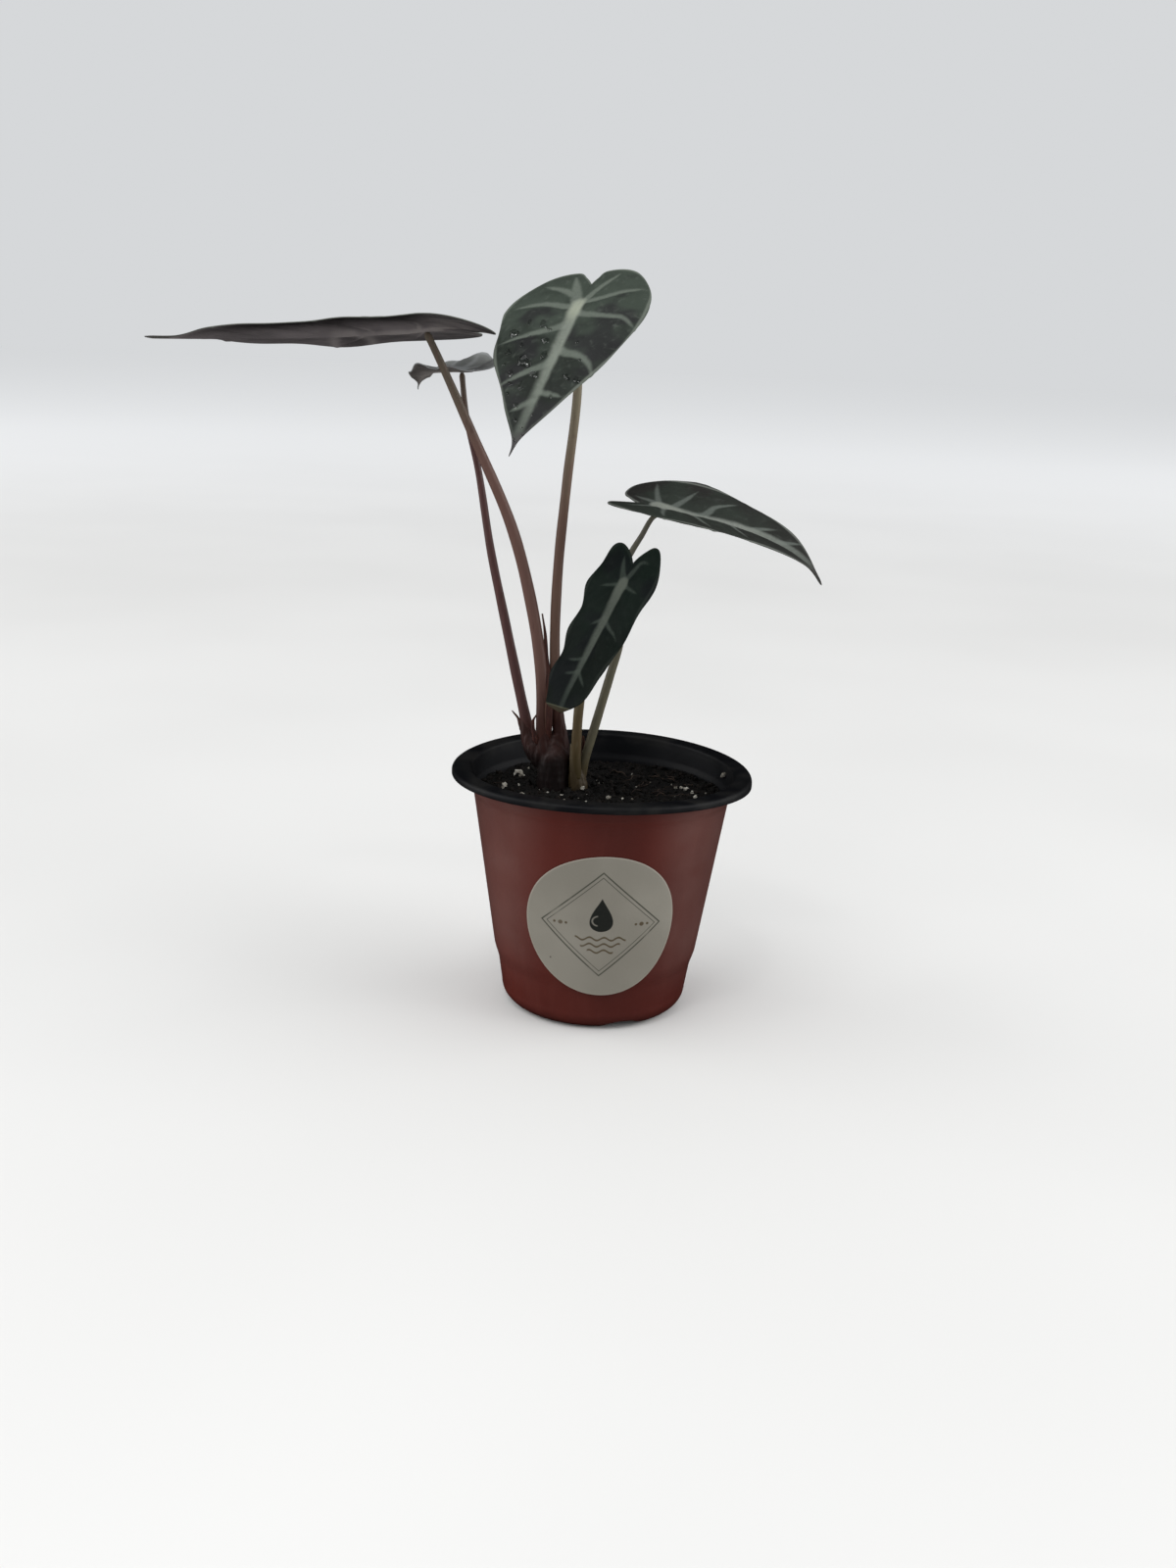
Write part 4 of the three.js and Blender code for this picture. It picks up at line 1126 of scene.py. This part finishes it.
def blade_outline(leaf, side, count=400):
    """Half of the flat outline, a smooth curve from the notch between the lobes round the lobe and
    on to the tip, evenly spaced, with the leaf's nudges."""
    length, notch, full = (leaf[key] for key in ("length", "notch", "fullness"))
    spread = leaf["lobe_spread"][0 if side > 0 else 1]
    lobe = leaf["lobe"] * (1 + side * leaf["skew"])
    points = np.array([
        (-notch, 0),
        (-(notch + lobe) / 2, 0.36 * spread),
        (-lobe, spread),
        (-0.86 * lobe, 0.97 * lerp(spread, 1, 0.6)),
        (-0.35 * lobe, 0.97),
        (0.12 * length, 1),
        (0.42 * length, 0.8 + 0.14 * full),
        (0.7 * length, 0.44 + 0.3 * full),
        (leaf.get("tip_start", 0.9) * length, leaf["tip_width"] + 0.25 * full),
        (length, 0),
    ])
    if side < 0 and leaf.get("blunt"):
        points = np.insert(points, 9, (0.967 * length, leaf["blunt"]), axis=0)
    margin = curve_through(points * (1, leaf["half_width"]), count, 0, 0)
    return margin + nudges(leaf, side, np.linspace(0, 1, count)[:, None]) * (0, 1)


def midrib_arc(leaf):
    """The midrib seen from the side: its slope follows powers of the share of the length, and is
    summed in short steps from behind the lobes. Returns distances, places along and up, slopes."""
    length, lobe = leaf["length"], leaf["lobe"]
    x = np.linspace(-1.3 * lobe, length, 481)
    back = math.radians(leaf["lobe_droop"]) * (-x / lobe)
    share = np.maximum(x, 0) / length
    front = -math.radians(leaf["droop"]) * share ** 1.3 - math.radians(leaf["tip_curl"]) * share ** 8
    slope = np.where(x < 0, back, front)
    middle = (slope[1:] + slope[:-1]) / 2
    along = np.concatenate([[0], np.cumsum(np.cos(middle))]) * (x[1] - x[0])
    up = np.concatenate([[0], np.cumsum(np.sin(middle))]) * (x[1] - x[0])
    return x, along - np.interp(0, x, along), up - np.interp(0, x, up), slope


def blade_axes(leaf):
    """The blade's own directions: towards its tip, to its left and up off its face."""
    azimuth, dip, roll = (math.radians(leaf[key]) for key in ("azimuth", "dip", "roll"))
    east, north = math.cos(azimuth), math.sin(azimuth)
    forward = np.array([math.cos(dip) * east, math.cos(dip) * north, -math.sin(dip)])
    level = np.array([-north, east, 0])
    left = level * math.cos(roll) + np.cross(forward, level) * math.sin(roll)
    return forward, left, np.cross(forward, left)


def place_on_blade(leaf, x, y, side, lift):
    """Takes flat points, x along the midrib and y across it, into the air: each half is folded up
    and curled down, the midrib is swept and twisted, and the whole is bent along its arc."""
    share = np.clip(x / leaf["length"], -1, 1)
    inward = np.maximum(share, 0)
    fold = np.radians(np.where(side > 0, leaf["fold_left"], leaf["fold_right"]))
    rise = y * np.sin(fold) - leaf["curl"] * y * y / (2 * leaf["half_width"]) + lift
    aside = side * y * np.cos(fold) + leaf["sweep"] * 4 * inward * (1 - inward)
    twist = math.radians(leaf["twist"]) * share
    across = aside * np.cos(twist) - rise * np.sin(twist)
    proud = aside * np.sin(twist) + rise * np.cos(twist)
    stations, runs, ups, slopes = midrib_arc(leaf)
    along, up, slope = (np.interp(x, stations, values) for values in (runs, ups, slopes))
    forward, left, normal = blade_axes(leaf)
    along, up = along - proud * np.sin(slope), up + proud * np.cos(slope)
    return (np.array(leaf["hub"], float) + along[..., None] * forward
            + across[..., None] * left + up[..., None] * normal)


def blade_root(leaf, share):
    """Where on the midrib the line to a place of the margin starts: from the notch to the hub, then
    round the hub, then along the midrib to the tip."""
    first, second = HUB_SHARE
    reach = HUB_REACH * leaf["length"]
    behind = -leaf["notch"] * (1 - share / first)
    around = reach * (share - first) / (second - first)
    ahead = lerp(reach, leaf["length"], (share - second) / (1 - second))
    return np.where(share < first, behind, np.where(share < second, around, ahead))


def flat_blade(leaf, share, side, across):
    """Flat place of a point that lies the share across of the way from the midrib to the margin,
    with the wave that the margin has there."""
    left, right = (blade_outline(leaf, s) for s in (1, -1))
    places = np.linspace(0, 1, len(left))
    margin_x, margin_y = (np.where(side > 0, np.interp(share, places, left[:, i]),
                                   np.interp(share, places, right[:, i])) for i in (0, 1))
    waves = [np.sin(2 * math.pi * ripples * share + math.radians(phase))
             for ripples, phase in zip(leaf["ripples"], leaf["phases"])]
    wave = np.where(side > 0, *waves)
    bowed = 1 + BLADE["bow"] * smoothstep(share, *HUB_SHARE)
    x = lerp(blade_root(leaf, share), margin_x, across ** bowed)
    y = margin_y * across * (1 + leaf["scallop"] * wave * across)
    return x, y, wave


def vein_fields(leaf, name, flat):
    """At each flat point: distance past the edge of the midrib's band, the same for the nearest side
    vein, whose band draws to a point at its end, and the distance to the nearest middle line."""
    far = np.full(flat.shape[:-1], 1e3)
    midrib, side_vein, middle = far, far, far
    for i, (wide, slim, points) in enumerate(VEINS.get(name, PLAIN_VEINS)):
        path = curve_through(np.array(points) * (leaf["length"], leaf["half_width"]), 26)
        gap, share = distance_to_path(flat, path)
        middle = np.minimum(middle, gap)
        half = lerp(wide, slim, share) / 2
        if i == 0:
            midrib = gap - half
        else:
            side_vein = np.minimum(side_vein, gap - (half - 0.9 * share ** 5))
    return midrib, side_vein, middle


def blade_ring(steps):
    """One section of the blade, from the left margin over the top to the right one and back below:
    the side, the share across, the face from 1 on top to -1 below, and how far the edge bulges."""
    even = np.linspace(0, 1, steps + 1)
    across = even - 0.11 * np.sin(2 * math.pi * even)
    edge = np.radians((45, 90, 135))
    width = 2 * steps + 1
    side = np.repeat((1, -1, -1, 1), (steps + 1, steps + 3, steps + 1, steps + 3))
    share = np.tile(np.concatenate([across[::-1], across[1:], np.ones(3)]), 2)
    face = np.concatenate([np.ones(width), np.cos(edge), -np.ones(width), -np.cos(edge)])
    bulge = np.tile(np.concatenate([np.zeros(width), np.sin(edge)]), 2)
    return side[None], share[None], face[None], bulge[None]


def bulge_at(leaf, x, y):
    """How far a leaf's one broad bulge sinks, if it has one: a bell round a place, y being signed."""
    if "bulge" not in leaf:
        return 0 * x
    along, aside, reach, depth = leaf["bulge"]
    return depth * np.exp(-((x - along) / reach) ** 2 - ((y - aside) / reach) ** 2)


def blade_relief(leaf, x, y, share, across, wave, middle, edge):
    """How far the middle surface stands off the smooth blade: the margin ripples, the tissue puffs
    up between the veins with a fine random grain, and a channel runs over the midrib."""
    ends = np.sqrt(np.clip(np.sin(math.pi * share), 0, 1))
    ripple = leaf["ripple"] * wave * ends * across ** 2
    puff = leaf["quilt"] * (1 - bell(middle, 2.6)) * (1 - bell(edge, 3.0))
    fine = 0.07 * roughness_at(np.stack([x, y], -1), 6.0, 3, 2) * (1 - bell(edge, 1))
    channel = BLADE["channel"] * bell(y, 1.3) * smoothstep(x, 1, 8)
    return ripple + (puff + fine - channel) * ends


def make_blade(name, leaf, finishes, slot):
    """A closed shell: rings round the blade at stations along its margin, from notch to tip. Its
    thickness thins towards the margin, and the midrib and the veins stand out below. Returns the
    flat places and the points of its top."""
    steps = int(leaf["half_width"] / BLADE["grain"])
    margin = blade_outline(leaf, 1)
    stations = int(np.linalg.norm(np.diff(margin, axis=0), axis=1).sum() / BLADE["grain"])
    stations = np.linspace(0, 1, stations + 1)[:, None]
    side, across, face, bulge, share = np.broadcast_arrays(*blade_ring(steps), stations)
    x, y, wave = flat_blade(leaf, share, side, across)
    flat = np.stack([x, side * y], -1)
    outlines = [blade_outline(leaf, s, 120) * (1, s) for s in (1, -1)]
    edge = np.minimum(*(distance_to_path(flat, path)[0] for path in outlines))
    midrib, vein, middle = vein_fields(leaf, name, flat)
    relief = blade_relief(leaf, x, y, share, across, wave, middle, edge) - bulge_at(leaf, x, side * y)
    relief = relief + nudges(leaf, side, share, True) * across ** 2
    closing = np.sqrt(np.clip(np.sin(math.pi * share) / BLADE["closing"], 0, 1))
    half = BLADE["half_thickness"] * lerp(1, BLADE["margin_share"], across ** 5) * closing
    size = leaf["half_width"] / BLADE["usual_half_width"]
    ahead = np.clip(x / leaf["length"], 0, 1)
    behind = np.clip(1 + x / leaf["notch"], 0, 1)
    rib = size * BLADE["rib_depth"] * (1 - ahead) ** 0.7 * behind * bell(y, BLADE["rib_reach"])
    rib = np.maximum(rib, BLADE["vein_depth"] * bell(middle, BLADE["vein_reach"]))
    below = (face < 0) * (bulge == 0) * rib * closing
    points = place_on_blade(leaf, x, y + bulge * half, side, relief + face * half - below)
    places, faces = joined(points)
    column = faces % share.shape[1]
    under = ((column >= 2 * steps + 4) & (column <= 4 * steps + 4)).all(1)
    fields = {"midrib": midrib, "vein": vein, "edge": edge, "hub": np.hypot(x, y), "ahead": ahead}
    fields = {key: values.ravel() for key, values in fields.items()}
    blade = add_piece(f"leaf_{name}", places, faces, finishes, slot, fields, flat.reshape(-1, 2), under)
    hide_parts(f"blade_{name}")
    top = (face == 1) & (bulge == 0)
    return flat[top], points[top]


def make_drops(flat, points):
    """Water drops: flattened domes on ovals whose edge wavers. Each rests on a bent patch that is
    fitted, by least squares, to the blade's points around it."""
    draw = np.random.default_rng(4)
    across = np.linspace(1, 0, 9)[:, None]
    angle = circle(22)[None]
    grids = []

    def terms(offset):
        x, y = offset[..., 0], offset[..., 1]
        return np.stack([1 + 0 * x, x, y, x * x, x * y, y * y], -1)

    for x, y, radius, long in DROPS:
        near = np.linalg.norm(flat - (x, y), axis=-1) < radius * long + 0.9
        patch = np.linalg.lstsq(terms(flat[near] - (x, y)), points[near], rcond=None)[0]
        turn = draw.uniform(-0.5, 0.5) + 0.6
        shifts = draw.uniform(0, 6, 2)
        edge = radius * (1 + 0.16 * np.sin(2 * angle + shifts[0]) + 0.13 * np.sin(3 * angle + shifts[1]))
        u, v = across * edge * np.cos(angle) * long, across * edge * np.sin(angle)
        cos, sin = math.cos(turn), math.sin(turn)
        base = terms(np.stack([u * cos - v * sin, u * sin + v * cos], -1)) @ patch
        normal = unit(np.cross(patch[1], patch[2]))
        dome = base + normal * (0.36 * radius * (1 - across ** 2.6) + 0.01)[..., None]
        under = base[::-1] - normal * 0.03
        grids.append(capped(np.concatenate([under, dome])))
    add_piece("water_drops", *joined(*grids), [water_finish()])


def make_stalk(name, leaf, finish, slot):
    """A tapered round stalk from its sheath to the hub, wider at its foot and where it meets the
    blade, and slightly pressed on one side lower down."""
    size = leaf["half_width"] / BLADE["usual_half_width"]
    top = np.array(leaf["hub"]) - BLADE["stalk_depth"] * size * blade_axes(leaf)[2]
    path = curve_through([*leaf["stalk"], tuple(top)], 160)
    share = np.linspace(0, 1, len(path))
    swell = 1 + 0.14 * smoothstep(share, 0.965, 1) + 0.1 * smoothstep(share, 0.1, 0)
    closing = np.sqrt(np.clip((1 - share) / 0.012, 0, 1))
    radii = lerp(*leaf["stalk_radii"], share ** leaf["taper"]) * swell
    radii = radii * (1 + 0.015 * np.sin(share * 41)) * closing

    def pressed(along, angle):
        return 1 - 0.06 * smoothstep(along, 0.5, 0) * np.cos(angle - 1.2) ** 6

    grid = capped(sweep(path, radii, 28, pressed))
    stalk = add_piece(f"petiole_{name}", *joined(grid), [finish], slot)
    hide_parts(f"stalk_{name}")


# Crowns

def corm_grid(corm):
    """A short upright stem, drawn in at its top, with ring scars where older leaves stood: each
    is a low bell along the height."""
    x, y, radius, foot, scar, top = (corm[key] for key in ("x", "y", "radius", "foot", "scar", "top"))
    height = np.linspace(foot, top, 90)
    body = radius * np.sqrt(smoothstep(height, foot - 0.5, foot + 4))
    neck = 1 - 0.65 * smoothstep(height, scar - 1.5, top)
    rings = sum(0.016 * bell(height - scar + step, 0.4) for step in (0, 3.1, 6.0, 8.7))
    grid = turned(np.stack([body * neck * (1 + rings), height], -1), 60)
    return capped(grid + (x, y, 0))


def make_crown(name, node, corm, sheaths, finish, slot):
    """The corm and its sheaths, melted into one skin by a fine remesh, then given fibres: shallow
    grooves along the stem that wander sideways."""
    grids = [corm_grid(corm)]
    for sheath in sheaths:
        path = curve_through(sheath["path"], 40)
        radii = lerp(*sheath["radii"], smoothstep(np.linspace(0, 1, len(path)), 0, 0.9))
        grids.append(capped(sweep(path, radii, 40)))
    crown = add_piece(name, *joined(*grids), [finish], slot)
    melt = crown.modifiers.new("melt", "REMESH")
    melt.mode = "VOXEL"
    melt.voxel_size = 0.3 * MM
    smooth = crown.modifiers.new("smooth", "SMOOTH")
    smooth.iterations = 6
    mesh = applied(crown)
    places, normals = np.zeros((2, len(mesh.vertices) * 3))
    mesh.vertices.foreach_get("co", places)
    mesh.vertices.foreach_get("normal", normals)
    places, normals = places.reshape(-1, 3), normals.reshape(-1, 3)
    fibres = roughness_at(places / MM * (1, 1, 0.12), 1.6, 9, 3)
    places = places + normals * (0.14 * MM * fibres)[:, None]
    mesh.vertices.foreach_set("co", places.ravel())
    mesh.shade_smooth()
    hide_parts(node)


def make_scales(finish):
    """Thin gutters that taper to a point: an arc round each path, doubled back on itself to give it
    a thickness, and ruffled by a sine along it."""
    grids, edges = [], []
    share = np.linspace(0, 1, 60)[:, None]
    for scale in SCALES:
        path = curve_through(scale["path"], len(share))
        radii = lerp(*scale["radii"], share ** 1.1) * smoothstep(share, -0.15, 0.2)
        facing, widest = math.radians(scale["facing"]), math.radians(scale["open"])
        outward = np.array([math.cos(facing), math.sin(facing), 0])
        aside = np.array([-math.sin(facing), math.cos(facing), 0])
        there = np.linspace(-widest, widest, 17)
        angle = np.concatenate([there, there[::-1]])[None]
        reach = radii + np.repeat((SCALE_THICKNESS, -SCALE_THICKNESS), len(there))
        reach = reach * (1 + 0.08 * np.sin(share * 23 + angle * 2.5))
        spread = np.cos(angle)[..., None] * outward + np.sin(angle)[..., None] * aside
        grids.append(capped(path[:, None] + spread * reach[..., None]))
        edge = (widest - abs(angle)) * radii
        edges.append(np.concatenate([edge[:1], edge, edge[-1:]]).ravel())
    add_piece("dry_scales", *joined(*grids), [finish], "corm", {"edge": np.concatenate(edges)})


# Camera, light and floor

def set_camera():
    """The camera looks along +Y, tipped down, turned by its yaw and rolled about its own axis."""
    down, roll, yaw = (math.radians(CAMERA[key]) for key in ("down", "roll", "yaw"))
    level = math.cos(down)
    forward = Vector((math.sin(yaw) * level, math.cos(yaw) * level, -math.sin(down)))
    right = forward.cross(Vector((0, 0, 1))).normalized()
    up = right.cross(forward)
    right, up = right * math.cos(roll) + up * math.sin(roll), up * math.cos(roll) - right * math.sin(roll)
    data = bpy.data.cameras.new("camera")
    data.sensor_fit = "AUTO"
    data.sensor_width = CAMERA["sensor"]
    data.lens = CAMERA["focal"] / CAMERA["frame_height"] * CAMERA["sensor"]
    data.clip_start = 0.01
    camera = bpy.data.objects.new("camera", data)
    camera.matrix_world = Matrix((right, up, -forward)).transposed().to_4x4()
    camera.location = Vector(CAMERA["place"]) * MM
    bpy.context.scene.collection.objects.link(camera)
    bpy.context.scene.camera = camera


def add_light(name, place, target, size, power):
    data = bpy.data.lights.new(name, "AREA")
    data.size = size
    data.energy = power
    light = bpy.data.objects.new(name, data)
    light.location = place
    light.rotation_euler = (Vector(target) - Vector(place)).to_track_quat("-Z", "Y").to_euler()
    light.visible_camera = False
    bpy.context.scene.collection.objects.link(light)


def set_stage():
    """A pale floor, an even pale sky and large soft lamps; only the lamps show in reflections."""
    corners = [(-1, -1, 0), (1, -1, 0), (1, 1, 0), (-1, 1, 0)]
    mesh = bpy.data.meshes.new("floor")
    mesh.from_pydata(np.array(corners) * FLOOR_HALF, [], [(0, 1, 2, 3)])
    mesh.materials.append(floor_finish())
    floor = bpy.data.objects.new("floor", mesh)
    floor.visible_glossy = False
    bpy.context.scene.collection.objects.link(floor)
    world = bpy.data.worlds.new("sky")
    world.use_nodes = True
    sky = world.node_tree.nodes["Background"]
    sky.inputs["Color"].default_value = SKY["colour"]
    sky.inputs["Strength"].default_value = SKY["strength"]
    world.cycles_visibility.glossy = False
    bpy.context.scene.world = world
    for name, lamp in LAMPS.items():
        add_light(name, *lamp)
    bpy.context.scene.view_settings.view_transform = "Standard"


# The whole plant

def blade_finishes():
    """The two finishes of each blade, for its upper and lower face, and its slot."""
    # Each underside's last tone is the painted shade at its curled margin; the purple one also paints a
    # fold's highlight and shade.
    purple = underside_finish("purple_underside", ("#5e5859", "#4e494a", "#7a7472", "#1f1b1c"),
                              (26.0, -17.0, 6.0, 17.0))
    grey_under = underside_finish("grey_underside", ("#67625f", "#534f4c", "#7f7a77", "#4a4644"))
    green_under = underside_finish("green_underside", ("#454944", "#3a3e3a", "#5a5e56", "#333632"))
    grey = blade_finish("grey_blade", ("#3f473f", "#272b27", "#2a292b", "#656c63", "#7d8379",
                                       "#949989", "#454343"))
    silver = blade_finish("silver_blade", ("#868885", "#6b6d6b", "#686869", "#9c9e9e", "#a6a9aa",
                                           "#a6a9aa", "#6a6e6b"))
    shaded = blade_finish("shaded_blade", ("#343a34", "#2e2f2c", "#2f2c2b", "#676d67", "#7f837c",
                                           "#858980", "#3c3b38"), laterals=0.75, rim=0.6, soft=0.65)
    dark = blade_finish("dark_blade", ("#101a15", "#0d1410", "#0c1012", "#383f39", "#4a4f48",
                                       "#50554d", "#2e281c"),
                        laterals=0.7, rim=0.15, gleam=0.06, soft=0.6, tip=44.2)
    return {
        "long": ([shaded, purple], "pale_blade"),
        "small": ([silver, grey_under], "pale_blade"),
        "broad": ([grey, green_under], "pale_blade"),
        "arching": ([shaded, green_under], "pale_blade"),
        "narrow": ([dark, green_under], "dark_blade"),
    }


def stalk_finishes():
    """The finish of each stalk, with its slot."""
    red, olive, rosy, mossy = "#3c211a", "#40361f", "#644a42", "#6a634f"
    looks = {
        "long": ("red_stalk", "stalk_red_brown", red, "#5e433b", "#574e41", (90, 118, 178, 207), rosy),
        "small": ("red_stalk", "stalk_dark_red", red, "#4b302e", "#514539", (86, 101, 184, 202),
                  "#5a3633"),
        "broad": ("red_stalk", "stalk_rose", red, "#5b4439", "#7a735e", (90, 122, 156, 215), rosy),
        "arching": ("olive_stalk", "stalk_olive", olive, "#5c5847", "#5e5c50", (76, 90, 100, 150), mossy),
        "narrow": ("olive_stalk", "stalk_brown_olive", olive, "#54462f", "#5c5a44", (78, 92, 90, 130),
                   mossy),
    }
    return {leaf: (stalk_finish(*look), slot) for leaf, (slot, *look) in looks.items()}


def make_plant():
    """The five leaves on their stalks, the two crowns and the dry scales."""
    blades, stalks = blade_finishes(), stalk_finishes()
    for name, leaf in LEAVES.items():
        surface = make_blade(name, leaf, *blades[name])
        if name == "broad":
            make_drops(*surface)
        make_stalk(name, leaf, *stalks[name])
    main_skin = crown_finish("crown_red_brown", "#160e0d", "#311611", "#210f0d", "#3c211a",
                             (81, 88, 88, 101))
    young_skin = crown_finish("crown_olive", "#261d13", "#3d3220", "#4a402b", "#554b37",
                              (71, 76, 76, 86))
    make_crown("crown_old", "crown_main", CORM, SHEATHS, main_skin, "corm")
    make_crown("crown_young", "crown_offset", OFFSET_CORM, OFFSET_SHEATHS, young_skin, "young_corm")
    make_scales(scale_finish())


set_camera()
set_stage()
make_pot()
make_soil()
make_crumbs()
make_perlite()
make_fibres()
make_label()
make_plant()
